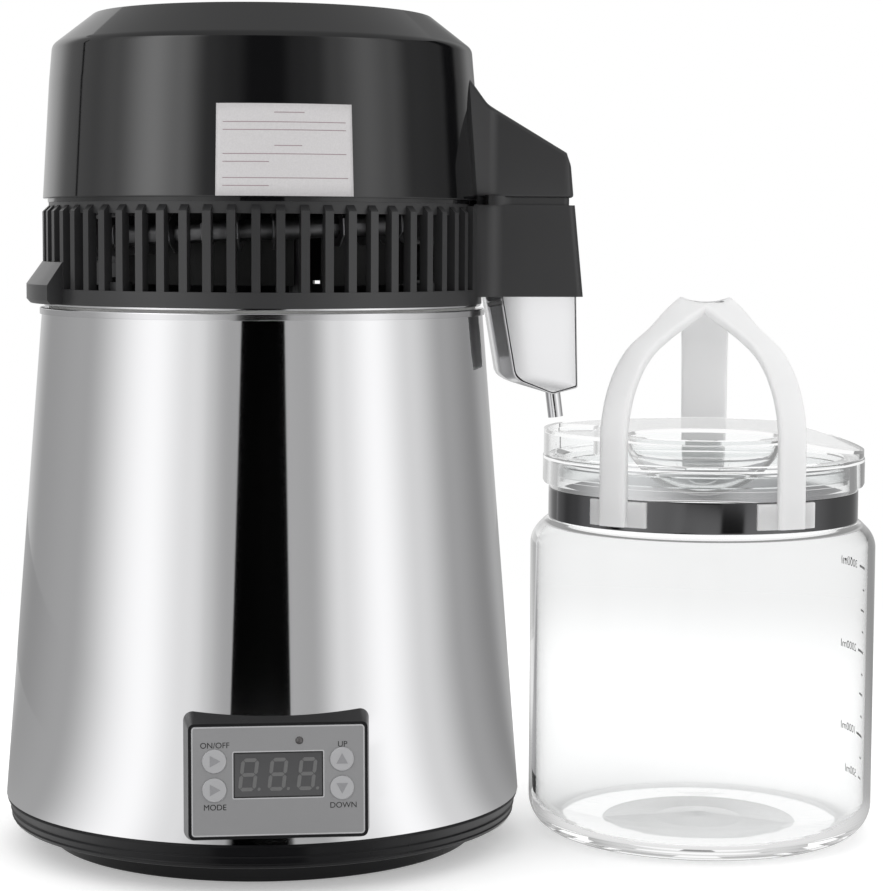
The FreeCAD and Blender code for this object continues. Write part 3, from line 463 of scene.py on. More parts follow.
def moulded(name, colour, rough, spread=0.04, pebble=0.0, scale=900.0, ior=1.5):
    """Moulded plastic: an even colour with slight cloudiness, and a fine pebble where asked."""
    made, shader = new_material(name, IOR=ior)
    cloud = noise(made, 22.0)
    cloudy(made, shader, cloud, colour, 0.06)
    vary(made, shader, "Roughness", cloud, max(0.02, rough - spread), rough + spread)
    if pebble:
        bump(made, shader, noise(made, scale, 2.0), pebble)
    return made


def clear(name, colour, ior, gloss=0.5, rough=0.0):
    """Clear glass or plastic with the faintest ripple. Gloss is the specular level, 0.5 for plain glass."""
    made, shader = new_material(
        name, Base_Color=(*colour, 1), Transmission_Weight=1.0, IOR=ior, Specular_IOR_Level=gloss
    )
    ripple = noise(made, 12.0, 1.0)
    vary(made, shader, "Roughness", ripple, rough, rough + 0.01)
    bump(made, shader, ripple, 0.00004)
    return made


def milky(name, colour):
    """Soft translucent plastic. Light goes about 15 mm into it."""
    made, shader = new_material(
        name, Subsurface_Weight=0.9, Subsurface_Radius=(1.0, 1.0, 1.0), Subsurface_Scale=0.015
    )
    cloud = noise(made, 18.0)
    cloudy(made, shader, cloud, colour, 0.01)
    vary(made, shader, "Roughness", cloud, 0.3, 0.42)
    return made


def printed(name, colour, rough=0.5):
    """Ink or a small flat mark."""
    made, shader = new_material(name, Roughness=rough)
    cloudy(made, shader, noise(made, 1500.0, 2.0), colour, 0.1)
    return made


def wear(obj, made):
    obj.data.materials.clear()
    obj.data.materials.append(made)
    return obj


def finish_nodes(made, *names):
    """Gives CAD nodes their material and welds their triangles, so that their curved faces shade smoothly."""
    for name in names:
        node = wear(frame["nodes"][name], made)
        node.modifiers.new("weld", "WELD").merge_threshold = CAD_MERGE
        all_smooth(node.data)
        split_edges(node, 30)


class SurfaceOperator:
    """What every operator here shares."""

    bl_options = {"REGISTER", "UNDO"}


# ---------------------------------------------------------------- base and steel body
class DISTILLER_OT_base(SurfaceOperator, bpy.types.Operator):
    """Black base with its sloping foot, overhanging ring and two fine ribs"""

    bl_idname = "distiller.base"
    bl_label = "Base"

    def execute(self, context):
        s = context.scene.distiller_body
        black = moulded("base_black", s.black, 0.3, pebble=0.00002, ior=1.3)
        base = lathe(
            "base_moulding",
            [
                (0, 3.0), (89.5, 3.0, 0.8), (91.5, 1.5, 0.8), (95.2, 1.5, 1.2), (98.6, 11.6, 1.2),
                (112.5, 11.6, 0.6), (113.4, 13.2, 0.5), (113.0, 13.8, 0.3), (113.9, 16.3, 0.5),
                (113.4, 16.9, 0.3), (115.2, 20.9, 0.5), (114.9, 22.2, 0.3), (114.3, 22.3), (113.9, 27.3),
                (111.6, 27.3), (110.4, 14.0), (96.6, 14.0), (93.2, 5.4), (0, 5.4),
            ],
            "body", "satin_black",
        )
        wear(base, black)
        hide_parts("base_pan")
        finish_nodes(moulded("foot_rubber", (0.02, 0.02, 0.02), 0.75), "foot_pads")
        satin = steel_satin("steel_satin", (0.6, 0.6, 0.61), 0.3)
        finish_nodes(satin, "base_screws", "standoffs", "thermostats")
        finish_nodes(steel_satin("cast_element", (0.35, 0.33, 0.31), 0.6), "heater_plate")
        return {"FINISHED"}


# Openings in the steel: degrees from the front, and heights in millimetres.
WALL_OPENINGS = ((-15.87, 15.87, 31.0, 69.0), (161.2, 172.1, 40.5, 55.5), (186.1, 200.7, 37.5, 58.5))


def steel_wall(s):
    """Steel cone as a grid of bearings and heights, open for the panel and two sockets, then made 0.8 mm.

    Radius = bottom radius + (top radius - bottom radius) x share of the height."""
    low, high, even_count, hem = s.bottom_z * 1000, s.top_z * 1000, 256, 1.0
    edges = np.array([edge for opening in WALL_OPENINGS for edge in opening[:2]]) % 360
    even = np.arange(even_count) * 360 / even_count
    even = even[np.abs((even[:, None] - edges + 180) % 360 - 180).min(1) > 0.45]
    columns = np.sort(np.concatenate([even, edges]))
    rows = {low, low + hem, high - hem, high, *[z for opening in WALL_OPENINGS for z in opening[2:]]}
    rows = np.sort(np.concatenate([list(rows), np.linspace(90, high - 20, 5)]))[:, None]
    share = (rows - low) / (high - low)
    radius = 1000 * (s.bottom_radius + (s.top_radius - s.bottom_radius) * share)
    grid = body_place(on_wall(columns, rows, radius))
    middle = columns + (np.roll(columns, -1) - columns) % 360 / 2
    height = (rows[:-1] + rows[1:]) / 2
    keep = np.ones((len(rows) - 1, len(columns)), bool)
    for first, last, bottom, top in WALL_OPENINGS:
        keep &= ~(((middle - first) % 360 < last - first) & (height > bottom) & (height < top))
    wall = pierced("steel_wall", grid, keep, "body", "steel")
    turn_out(wall, wall.data.polygons[0].center - Vector(BODY_AXIS))
    thicken(wall, SHEET / 1000)
    split_edges(wall, 40)
    return wall


class DISTILLER_OT_shell(SurfaceOperator, bpy.types.Operator):
    """Polished steel cone, and the boiling pot whose rim folds over its top"""

    bl_idname = "distiller.shell"
    bl_label = "Steel shell"

    def execute(self, context):
        s = context.scene.distiller_body
        shell = steel_wall(s)
        wear(shell, steel_polished("steel_mirror", s.steel))
        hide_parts("outer_shell")
        high, slim = s.top_z * 1000, s.top_radius * 1000
        r, floor, rim = s.pot_radius * 1000, s.pot_floor * 1000, high + 1.0
        lip = slim + 0.3
        pot = lathe(
            "boiling_pot",
            [
                (0, floor), (r + SHEET, floor, 10.8), (r + SHEET, rim - SHEET), (lip, rim - SHEET),
                (lip, rim - 3.0), (lip + 0.7, rim - 3.0, 0.2), (lip + 0.7, rim, 0.6), (r, rim, 0.6),
                (r, floor + SHEET, 10.0), (0, floor + SHEET),
            ],
            "body", "steel", arc=9, sharp=50,
        )
        wear(pot, steel_polished("pot_steel", (0.72, 0.72, 0.73), 0.12))
        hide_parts("boiler_pot")
        return {"FINISHED"}


# ---------------------------------------------------------------- control panel
def panel_place(points):
    """Points of the panel (x across, y inwards, z up, millimetres) put onto the leaning front of the body."""
    c, s = math.cos(-WALL_LEAN), math.sin(-WALL_LEAN)
    x, y, z = points[..., 0], points[..., 1], points[..., 2]
    turned = np.stack([x, y * c - z * s, y * s + z * c], -1)
    return (turned + np.array([0, -PANEL_FRONT, PANEL_HEIGHT])) / 1000 + BODY_AXIS


def ring_outline(width, height, corner, arc=8, x=0.0, z=0.0):
    """Rounded rectangle as a closed ring of (x, z) points."""
    w, h = width / 2 - corner, height / 2 - corner
    t = np.linspace(0, math.pi / 2, arc + 1)
    quarter = np.stack([np.cos(t), np.sin(t)], -1) * corner
    parts = []
    for k, (cx, cz) in enumerate([(w, h), (-w, h), (-w, -h), (w, -h)]):
        c, s = math.cos(k * math.pi / 2), math.sin(k * math.pi / 2)
        parts.append(quarter @ np.array([[c, s], [-s, c]]) + [cx, cz])
    return np.concatenate(parts) + [x, z]


def frame_strip(name, width, height, corner, band, back, front, made, z=0.0):
    """Flat frame on the panel: a rounded rectangle and a smaller one inside it, with a little thickness."""
    wide = ring_outline(width, height, corner, z=z)
    slim = ring_outline(width - 2 * band, height - 2 * band, max(corner - band, 0.1), z=z)
    rings = [upright(ring, y) for ring, y in ((wide, back), (wide, front), (slim, front), (slim, back))]
    strip = sheet(name, panel_place(np.stack(rings)), "body", "panel_grey", wrap_rows=True, weld=True)
    return wear(strip, made)


def text_mesh(name, text, size, depth, place, body, made):
    """Words as a thin mesh: a text curve made a mesh, then placed point by point."""
    curve = bpy.data.curves.new(name, "FONT")
    curve.body = text
    curve.size = size
    curve.align_x = "CENTER"
    curve.align_y = "CENTER"
    curve.extrude = depth
    temp = linked(name + "_curve", curve)
    flat = evaluated_mesh(temp)
    bpy.data.objects.remove(temp)
    co = np.zeros(len(flat.vertices) * 3)
    flat.vertices.foreach_get("co", co)
    flat.vertices.foreach_set("co", place(co.reshape(-1, 3)).astype(np.float32).ravel())
    flat.update()
    return wear(carried(linked(name, flat), body), made)


def words(name, text, x, z, size, made):
    """Printed word on the faceplate, standing 0.05 mm off it."""

    def place(co):
        return panel_place(np.stack([co[:, 0] + x, -co[:, 2] - 0.03, co[:, 1] + z], -1))

    text_mesh(name, text, size, 0.02, place, "body", made)


def segment_bars(height, thick):
    """The seven bars of a digit about its middle, each as six corners, and the point beside its foot."""
    tall, wide = height / 2, height * 0.27
    gap, half = thick * 0.12, thick / 2

    def bar(ax, az, bx, bz):
        """Bar between two points with pointed ends."""
        a, b = np.array([ax, az], float), np.array([bx, bz], float)
        way = (b - a) / np.linalg.norm(b - a)
        side = np.array([-way[1], way[0]]) * half
        a, b = a + way * gap, b - way * gap
        inner_a, inner_b = a + way * half, b - way * half
        return np.array([a, inner_a - side, inner_b - side, b, inner_b + side, inner_a + side])

    t, w = tall - half, wide - half
    bars = [bar(-w, v, w, v) for v in (t, 0, -t)]
    bars += [bar(u, v, u, v + t) for u in (-w, w) for v in (0, -t)]
    dot = np.array([[np.cos(k), np.sin(k)] for k in around(8)]) * half * 0.9
    bars.append(dot + [wide + thick * 0.9, -tall + half])
    return bars


# Each key with its arrow's place and turn, and its word with that one's place.
KEYS = (
    ("power", -26.0, 8.3, 0, "ON/OFF", -25.8, 14.6),
    ("mode", -26.0, -3.4, 0, "MODE", -25.8, -10.6),
    ("plus", 26.0, 8.3, 90, "UP", 26.2, 14.3),
    ("minus", 26.0, -3.4, -90, "DOWN", 26.5, -10.6),
)


class DISTILLER_OT_panel(SurfaceOperator, bpy.types.Operator):
    """Control panel: bezel, faceplate, window with unlit digits, keys, lamp and print"""

    bl_idname = "distiller.panel"
    bl_label = "Control panel"

    def execute(self, context):
        s = context.scene.distiller_panel
        finish_nodes(moulded("bezel_black", (0.011, 0.011, 0.012), 0.3, ior=1.3), "panel_bezel")
        finish_nodes(moulded("faceplate_grey", s.plate_grey, 0.42, pebble=0.00001), "faceplate")
        finish_nodes(moulded("key_grey", s.key_grey, 0.4), *["key_" + key[0] for key in KEYS])
        socket = (0.015, 0.015, 0.015)
        for node, look, colour, rough in (
            ("display_window", "window_smoke", (0.062, 0.062, 0.064), 0.12),
            ("display_module", "module_black", (0.02, 0.02, 0.02), 0.5),
            ("lamp_lens", "lamp_smoke", (0.09, 0.085, 0.085), 0.2),
            ("control_board", "board_green", (0.03, 0.15, 0.05), 0.4),
            ("power_inlet", "socket_black", socket, 0.4),
            ("fan_socket", "socket_black_small", socket, 0.4),
        ):
            finish_nodes(moulded(look, colour, rough), node)
        pale = printed("panel_edge_pale", (0.47, 0.47, 0.48), 0.35)
        dark = printed("panel_edge_dark", (0.015, 0.015, 0.015), 0.3)
        frame_strip("plate_edge", 70.4, 44.4, 1.4, 0.45, 0.2, -0.04, pale)
        frame_strip("window_edge", 37.5, 19.5, 0.8, 0.45, 0.3, -0.05, pale, WINDOW_Z)
        frame_strip("window_inner_edge", 36.6, 18.6, 0.4, 0.5, 0.3, 0.03, dark, WINDOW_Z)
        self.digits(s)
        symbol = printed("key_symbol", (0.27, 0.27, 0.28), 0.45)
        arrow = np.array([[2.5, 0.0], [-1.9, 2.4], [-1.9, -2.4]])
        for key, x, z, turn, *_ in KEYS:
            c, v = math.cos(math.radians(turn)), math.sin(math.radians(turn))
            spots = arrow @ np.array([[c, v], [-v, c]]) + [x, z]
            rings = panel_place(np.stack([upright(spots, depth) for depth in (-0.5, -0.64)]))
            wear(section_loft("mark_" + key, rings, "key_" + key, "panel_grey"), symbol)
        ink = printed("panel_ink", s.print_black)
        for key, *_, text, text_x, text_z in KEYS:
            words("print_" + key, text, text_x, text_z, s.letter_size * 1000, ink)
        return {"FINISHED"}

    def digits(self, s):
        """The bars of three unlit digits in one mesh, each a thin slab on the window's face."""
        slant, thick = math.tan(math.radians(7)), 1.5
        lofts = []
        for i in (-1, 0, 1):
            for bar in segment_bars(s.digit_height * 1000, thick):
                x = bar[:, 0] + bar[:, 1] * slant + i * s.digit_pitch * 1000 - 0.2
                ring = np.stack([x, bar[:, 1] + WINDOW_Z + 0.15], -1)
                lofts.append(panel_place(np.stack([upright(ring, depth) for depth in (0.2, 0.05)])))
        bars = section_lofts("unlit_digits", lofts, "body", "dark_window")
        wear(bars, printed("digit_unlit", s.digit_grey, 0.3))


# ---------------------------------------------------------------- head
def cap_radius(z):
    """Outer radius of the cap's wall, which leans in by 3.1 mm over its height."""
    (foot, low), (head, high) = (97.3, 286.8), (94.2, 338.0)
    return foot - (z - low) * (foot - head) / (high - low)


def from_slot(angles, phase, pitch):
    """Degrees from each angle back to the nearest slot's middle."""
    return (angles - phase + pitch / 2) % pitch - pitch / 2


def vent_plate(top, made):
    """Flat top with two rings of slots: a polar grid whose columns close in on each slot's parallel sides.

    Along a slot the two columns beside its middle stand at -/+ asin(half width / radius), and the faces
    between them are left out. Half width shrinks as sqrt(h^2 - d^2) over the slot's rounded ends."""
    columns, post_radius, post_reach = 160, 35, 6.5
    step = 360.0 / columns
    even = np.arange(columns) * step
    rows = [(8.0, even, None), (16.6, even, None)]
    for middle, reach, half, count, phase, edge, end in (
        (25.0, 7.5, 1.5, 20, 0.0, step, 34.875),
        (47.0, 10.0, 1.6, 32, 5.625, step / 2, 58.2),
    ):
        pitch = 360.0 / count
        inner = reach - half
        bends = inner + half * np.sin(np.linspace(0.08, 1.45, 6))
        for spot in np.concatenate([-bends[::-1], [-inner * 0.5, 0, inner * 0.5], bends]):
            past = max(0.0, abs(spot) - inner)
            width = math.sqrt(max(half**2 - past**2, 0.01))
            opening = math.degrees(math.asin(width / (middle + spot)))
            away = from_slot(even, phase, pitch)
            pulled = np.interp(np.abs(away), [0, edge, pitch / 2], [0, opening, pitch / 2]) * np.sign(away)
            rows.append((middle + spot, even - away + pulled, (phase, pitch, edge)))
        rows.append((end, even, None))
    rows.append((60.0, even, None))
    radii, angles, zones = zip(*rows)
    grid = polar(np.array(radii)[:, None], np.radians(np.array(angles)), top)
    keep = np.ones((len(rows) - 1, columns), bool)
    middles = even + step / 2
    for i, zone in enumerate(zones[:-1]):
        if zone is None or zone != zones[i + 1]:
            continue
        phase, pitch, edge = zone
        away = from_slot(middles, phase, pitch)
        over_post = (np.abs((middles - away) % 90 - 45) <= post_reach) & (radii[i] > post_radius)
        keep[i] = (np.abs(away) > edge) | over_post
    plate = pierced("cap_vents", body_place(grid), keep, "head", "gloss_black", [list(range(columns))])
    turn_out(plate, (0, 0, 1))
    thicken(plate, PLASTIC / 1000)
    return wear(plate, made)


def arm_upper(made):
    """Upper half of the spout arm: a wall that follows the plan from flare to nose, and a sloping top.

    Wall point = plan + inward x r (1 - cos a), height = top(x) - r (1 - sin a), a from 0 to 90 degrees."""
    low, end, half, bend, lean = 288.4, 136.8, 25.0, 3.5, 0.0952
    top = rounded([(88, 340.8), (97.4, 329.5, 12), (140.0, 304.35)], 10)
    plan = resampled(rounded([(88, -33), (100, -half, 9), (end, -half, bend), (end, -10)], 10), 1.6)[:-1]
    side = plan[plan[:, 1] < -half + 3.4]
    nose = np.stack([np.full(9, end), np.linspace(side[-1, 1], -side[-1, 1], 9)], -1)[1:-1]
    contour = np.concatenate([side, nose, side[::-1] * [1, -1]])
    inward = along(contour)[:, ::-1] * [-1, 1]
    front = np.clip((contour[:, 0] - (end - bend)) / bend, 0, 1)
    radius = 2.4 + 2.2 * front
    plans = [contour + inward * inset for inset in (1.1, 0.25, 0)]
    heights = [np.full(len(contour), low + rise) for rise in (0, 0.55, 1.4)]
    for a in np.linspace(0, math.pi / 2, 7):
        plans.append(contour + inward * (radius * (1 - math.cos(a)))[:, None])
        heights.append(np.interp(plans[-1][:, 0], top[:, 0], top[:, 1]) - radius * (1 - math.sin(a)))
    plans, heights = np.array(plans), np.array(heights)
    wall = np.stack([plans[..., 0] - (heights - low) * lean * front, plans[..., 1], heights], -1)
    rim = wall[-1]
    n = len(side)
    left, right = rim[:n], rim[::-1][:n]
    skin = left[:, None] + (right - left)[:, None] * np.linspace(0, 1, 9)[None, :, None]
    skin[-1] = rim[n - 1 : n + 8]
    root = np.concatenate([wall[:, 0], skin[0, 1:-1], wall[::-1, -1]])
    grids, flats = [body_place(wall), body_place(skin)], [body_place(wall[0]), body_place(root)]
    return wear(stitched("arm_upper", grids, flats, "head", "satin_black"), made)


def cap_label(s, paper, line):
    """Blank label with a few ruled lines, on the front of the cap.

    Rules are (height, start, end), as shares of the label."""
    foot, middle, thin, bend = 287.3, 2.6, 0.16, 96.0
    height = s.label_height * 1000
    reach = math.degrees(s.label_width * 1000 / 2 / bend)
    z = np.linspace(foot, foot + height, 7)[:, None]
    a = np.linspace(middle - reach, middle + reach, 31)
    label = body_place(on_wall(a, z, cap_radius(z) + 0.12))
    label = wear(sheet("cap_label", label, "head", "white_plastic", wrap_columns=False), paper)
    rules = [(0.905, 0.42, 0.64), (0.80, 0.05, 0.95), (0.715, 0.05, 0.95), (0.545, 0.42, 0.62)]
    rules += [(0.455, 0.05, 0.95), (0.37, 0.05, 0.38), (0.195, 0.05, 0.96), (0.11, 0.05, 0.38)]
    verts, faces = [], []
    for i, (share, first, last) in enumerate(rules):
        z = np.array([[-thin], [thin]]) + foot + share * height
        a = middle - reach + 2 * reach * np.linspace(first, last, 20)
        verts.append(on_wall(a, z, cap_radius(z) + 0.16).reshape(-1, 3))
        faces += grid_faces(2, 20, wrap_columns=False, start=40 * i)
    rule = add_mesh("label_rules", body_place(np.concatenate(verts)), faces, "head", "panel_grey")
    for piece, depth in ((label, 0.0002), (wear(rule, line), 0.0001)):
        turn_out(piece, (0, -1, 0))
        thicken(piece, depth)


class DISTILLER_OT_cap(SurfaceOperator, bpy.types.Operator):
    """Gloss black cap with its vented top, the upper half of the arm and a blank label"""

    bl_idname = "distiller.cap"
    bl_label = "Cap"

    def execute(self, context):
        s = context.scene.distiller_head
        low, top, wall = s.cap_low * 1000, s.cap_top * 1000, PLASTIC
        gloss = moulded("cap_gloss", s.gloss, 0.06, spread=0.015, ior=1.6)
        shell = lathe(
            "cap_shell",
            [
                (95.2, low), (97.3, low, 0.4), (94.2, 338.0, 80), (92.8, 353.6, 4.5), (74.8, top, 1.2),
                (60.0, top), (60.0, top - wall), (73.9, top - wall), (90.3, 352.5, 2.1), (91.8, 338.0, 80),
                (94.7, low + wall), (91.5, low + 0.4), (91.5, low - 1.6), (95.2, low - 1.6),
            ],
            "head", "gloss_black", steps=160, closed=True, sharp=40,
        )
        satin = moulded("arm_satin", s.satin, 0.36, pebble=0.000008, scale=2500.0)
        pieces = [wear(shell, gloss), vent_plate(top, gloss), arm_upper(satin)]
        half, end = 23.6, 135.0
        edge = [(96, -40.4), (101, -half, 11), (end, -half, 3), (end, half, 3), (101, half, 11), (96, 40.4)]
        edge = rounded(edge, 5)
        rings = [np.column_stack([edge, np.full(len(edge), z)]) for z in (284.9, 289.2)]
        seam = section_loft("arm_seam", body_place(np.stack(rings)), "head", "satin_black")
        pieces.append(wear(seam, satin))
        foot, head = 352.0, top - wall + 0.1
        ring = [(1.3, foot), (4.0, foot, 0.4), (4.0, head), (1.3, head)]
        for k in range(4):
            spot = BODY_AXIS + round_z(np.array([0.052, 0.0, 0.0]), 45 + 90 * k)
            post = lathe(f"cap_post_{k + 1}", ring, "head", "gloss_black", spot, 32, closed=True)
            pieces.append(wear(post, gloss))
        for piece in pieces:
            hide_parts("top_cap")
        cap_label(s, printed("label_paper", s.label), printed("label_line", (0.33, 0.25, 0.27)))
        return {"FINISHED"}


class DISTILLER_OT_grille(SurfaceOperator, bpy.types.Operator):
    """Slatted ring, condenser, fan and the pieces inside the head"""

    bl_idname = "distiller.grille"
    bl_label = "Grille ring"

    def execute(self, context):
        s = context.scene.distiller_head
        satin = moulded("ring_satin", s.satin, 0.34, pebble=0.000008, scale=2500.0)
        finish_nodes(satin, "grille_ring", "lead_gland")
        bright = steel_satin("steel_inner", (0.2, 0.2, 0.205), 0.45)
        finish_nodes(bright, "condenser_coil", "steam_riser", "condensate_pipe")
        finish_nodes(bright, "dish_studs", "motor_bracket", "bracket_screws")
        finish_nodes(steel_satin("fin_aluminium", (0.3, 0.3, 0.31), 0.5), "coil_fins")
        finish_nodes(steel_satin("motor_steel", (0.4, 0.4, 0.41), 0.45), "fan_motor")
        finish_nodes(moulded("fan_plastic", (0.1, 0.1, 0.1), 0.4), "fan_rotor")
        finish_nodes(moulded("shroud_black", (0.006, 0.006, 0.006), 0.6), "fan_shroud")
        finish_nodes(moulded("seal_silicone", (0.7, 0.7, 0.68), 0.6), "head_seal")
        z, r = 240.3, 89.4
        pan = lathe(
            "dish",
            [
                (0, z - 7.5), (r, z - 7.5, 1.4), (r, z), (97.4, z, 0.2), (97.4, z + 1, 0.2),
                (r - SHEET, z + 1, 0.8), (r - SHEET, z - 6.7, 1.0), (0, z - 6.7),
            ],
            "head", "steel", sharp=50,
        )
        wear(pan, steel_polished("dish_steel", (0.76, 0.76, 0.77), 0.1))
        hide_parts("lid_pan")
        return {"FINISHED"}


NOZZLE_HALF = 19.0


def cover_view(reach, inset):
    """Side view of the nozzle cover, carried towards the body by reach and made smaller by inset."""
    corners = [
        (104.6 - reach + inset, 245.5), (111.0 - reach + inset, 208.6 + inset, 6.0),
        (114.5 - reach * 0.8 + inset, 205.9 + inset, 3.0), (128.6, 200.6 + inset * 1.05, 2.0),
        (140.0 - inset, 203.6 + inset, 1.0), (139.0 - inset, 245.5),
    ]
    return rounded(corners, 6)


def cover_rings():
    """Rings across the nozzle cover from front to rear: its side view, deeper to the body in the middle part.

    Each end face is rounded over: the side view is set in by r (1 - sin a) at r (1 - cos a) from the end."""
    half, mid, soft = NOZZLE_HALF, 10.5, 0.9
    rings = []
    for a in np.linspace(0, math.pi / 2, 6):
        rings.append((cover_view(0.0, soft * (1 - math.sin(a))), -half + soft * (1 - math.cos(a))))
    for reach, y in ((0.0, -half + 2.5), (4.0, -mid - 1.2), (4.6, -mid)):
        rings.append((cover_view(reach, 0.0), y))
    stack = rings + [(ring, -y) for ring, y in rings[::-1]]
    return np.stack([upright(ring, y) for ring, y in stack])


class DISTILLER_OT_nozzle(SurfaceOperator, bpy.types.Operator):
    """Steel nozzle cover, outlet tube and the filter behind them"""

    bl_idname = "distiller.nozzle"
    bl_label = "Nozzle"

    def execute(self, context):
        mirror = steel_polished("nozzle_steel", (0.84, 0.84, 0.85), 0.14, metal=0.86)
        cover = section_loft("nozzle_shroud", body_place(cover_rings()), "head", "steel", sharp=40)
        wear(cover, mirror)
        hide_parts("nozzle_cover")
        # Thin dark steel band on the cover's front face, just inside its rounded edge: a painted dark
        # reflection along that edge.
        out, back = -NOZZLE_HALF, 0.05 - NOZZLE_HALF
        corners = ((0.45, back), (0.45, out), (0.95, out), (0.95, back))
        rings = body_place(np.stack([upright(cover_view(0.0, inset), y) for inset, y in corners]))
        fold = sheet("nozzle_painted_dark_edge", rings, "head", "satin_steel", wrap_rows=True, weld=True)
        wear(fold, steel_satin("painted_dark_edge", (0.05, 0.05, 0.052), 0.4))
        finish_nodes(steel_polished("tube_steel", (0.8, 0.8, 0.81)), "outlet_tube")
        finish_nodes(milky("cup_plastic", (0.85, 0.85, 0.84)), "filter_cup")
        wear(sachet(), moulded("sachet_cloth", (0.6, 0.6, 0.57), 0.9, pebble=0.0001))
        return {"FINISHED"}


def sachet():
    """Round cloth bag of charcoal: radius R (1 + 0.03 cos 14 a) at the seam, where the cloth puckers.

    Height = +/- H sqrt(1 - p^2) (1 + 0.08 p^3 cos 14 a), with p the share of the radius."""
    low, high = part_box("charcoal_sachet")
    centre = (np.array(low) + np.array(high)) / 2
    wide, tall = (high.x - low.x) / 2 / 1.03, (high.z - low.z) / 2 / 1.08
    a = around(112)[None]
    p = np.sin(np.linspace(0.03, math.pi - 0.03, 31))[:, None]
    side = np.linspace(1, -1, 31)[:, None]
    fold = np.cos(14 * a)
    radius = wide * p * (1 + 0.03 * p**6 * fold)
    height = tall * np.sign(side) * np.sqrt(1 - p**2) * (1 + 0.08 * p**3 * fold)
    grid = polar(radius, a, height) + centre
    bag = section_loft("sachet_bag", grid[::-1], "head", "charcoal")
    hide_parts("charcoal_sachet")
    return bag


# ---------------------------------------------------------------- jug
FOOT_SPANS = ((-130.0, -108.6), (-71.4, -50.0), (78.0, 102.0))


def curved_bar(name, inner, outer, low, high, first, last, soft, body=None, slot=None):
    """Bar bent about the jug's axis: a rounded rectangle (radius, height) carried between two bearings."""
    ring = ring_outline(outer - inner, high - low, soft, 4, (inner + outer) / 2, (low + high) / 2)
    t = np.radians(np.linspace(first, last, max(3, math.ceil((last - first) / 2.5) + 1)))[:, None]
    return section_loft(name, jug_place(polar(ring[:, 0], t, ring[:, 1])), body, slot)


class DISTILLER_OT_jar(SurfaceOperator, bpy.types.Operator):
    """Glass jar with its printed scale and steel neck band"""

    bl_idname = "distiller.jar"
    bl_label = "Jar"

    def execute(self, context):
        s = context.scene.distiller_jug
        r, w = s.radius * 1000, s.wall * 1000
        neck, top, dome = 69.4, 143.4, 12.0
        jar = lathe(
            "jar_glass",
            [
                (0, 1.6), (20, 1.3, 8), (44.0, 0, 6), (r, 0, 15.0), (r, 136.5, dome), (r - 6.9, top, 3.0),
                (neck, top, 0.8), (neck, 170.4, 1.0), (neck - w, 170.4, 1.0), (neck - w, top - w, 1.0),
                (r - w - 5.0, top - w, 3.0), (r - w, 135.2, dome - w), (r - w, 6.0, 15.0 - w),
                (44.0, 6.0, 10), (0, 7.2),
            ],
            "jug", "clear_glass", axis=JUG_AXIS, arc=10, sharp=70,
        )
        wear(jar, clear("jar_clear", (0.945, 0.948, 0.948), 1.12, gloss=0.12))
        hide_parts("glass_jar")
        chrome = steel_polished("band_chrome", (0.12, 0.12, 0.123), 0.05)
        edge, out, low, high = 69.45, 70.3, 143.9, 157.6
        band = lathe(
            "band_ring",
            [(edge, low), (out, low, 0.3), (out, high, 0.3), (edge, high)],
            "jug", "satin_steel", axis=JUG_AXIS, closed=True, arc=4,
        )
        wear(band, chrome)
        band.data.materials.append(steel_satin("band_inside", (0.75, 0.75, 0.76), 0.35))
        middles, normals = (np.zeros(len(band.data.polygons) * 3) for _ in range(2))
        band.data.polygons.foreach_get("center", middles)
        band.data.polygons.foreach_get("normal", normals)
        outward = (middles.reshape(-1, 3) - JUG_AXIS) * normals.reshape(-1, 3)
        inward = outward[:, :2].sum(1) < 0
        band.data.polygons.foreach_set("material_index", inward.astype(np.int32))
        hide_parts("neck_band")
        for i, (first, last) in enumerate(FOOT_SPANS):
            span = (first + 3, last - 3)
            lug = curved_bar(f"band_lug_{i + 1}", 70.0, 73.0, 148.2, 155.4, *span, 0.6, "jug", "satin_steel")
            wear(lug, chrome)
        self.scale(s)
        return {"FINISHED"}

    def scale(self, s):
        """Printed scale on the rear right of the jar, outside: short bars and numbers wrapped on the wall."""
        r = s.radius * 1000 + 0.01
        ink = printed("scale_ink", s.marks, 0.4)
        bars = [(z, 83.5, 92.2, 1.15) for z in (119.9, 80.7, 41.6)] + [(21.8, 84.0, 88.4, 0.9)]
        bars += [(z, 83.5, 89.4, 0.95) for z in (99.9, 60.9)]
        bars += [(z, 83.8, 87.0, 0.8) for z in (109.7, 90.1, 70.4, 50.7, 31.4)]
        lofts, across = [], r + np.array([0, 0, 0.02, 0.02])
        for z, first, last, thick in bars:
            heights = np.array([-0.5, 0.5, 0.5, -0.5]) * thick + z
            lofts.append(on_jar(np.linspace(first, last, 6)[:, None], heights, across))
        wear(section_lofts("scale_bars", lofts, "jug", "satin_black"), ink)
        numbers = [(119.9, "3000ml", 94.6, 19.4), (80.7, "2000ml", 94.0, 19.4)]
        numbers += [(41.9, "1000ml", 93.0, 19.4), (22.1, "500ml", 91.6, 15.8)]
        for z, text, first, wide in numbers:
            middle = first + math.degrees(wide / 2 / r)

            def place(co, middle=middle, z=z):
                return on_jar(middle + np.degrees(co[:, 0] * 1.15 / r), co[:, 1] + z, r + 0.01 + co[:, 2])

            text_mesh("scale_" + text, text, 5.2, 0.008, place, "jug", ink)


def on_jar(angles, heights, radii):
    return on_wall(angles, heights, radii) / 1000 + JUG_AXIS


class DISTILLER_OT_lid(SurfaceOperator, bpy.types.Operator):
    """Clear lid with its seal"""

    bl_idname = "distiller.lid"
    bl_label = "Lid"

    def execute(self, context):
        finish_nodes(clear("lid_clear", (0.985, 0.988, 0.988), 1.1, gloss=0.2, rough=0.01), "jug_lid")
        finish_nodes(clear("seal_clear", (0.93, 0.94, 0.94), 1.1, rough=0.2), "lid_seal")
        return {"FINISHED"}


PEAK, EAVE, STRAP_INNER = 247.6, 214.2, 73.5


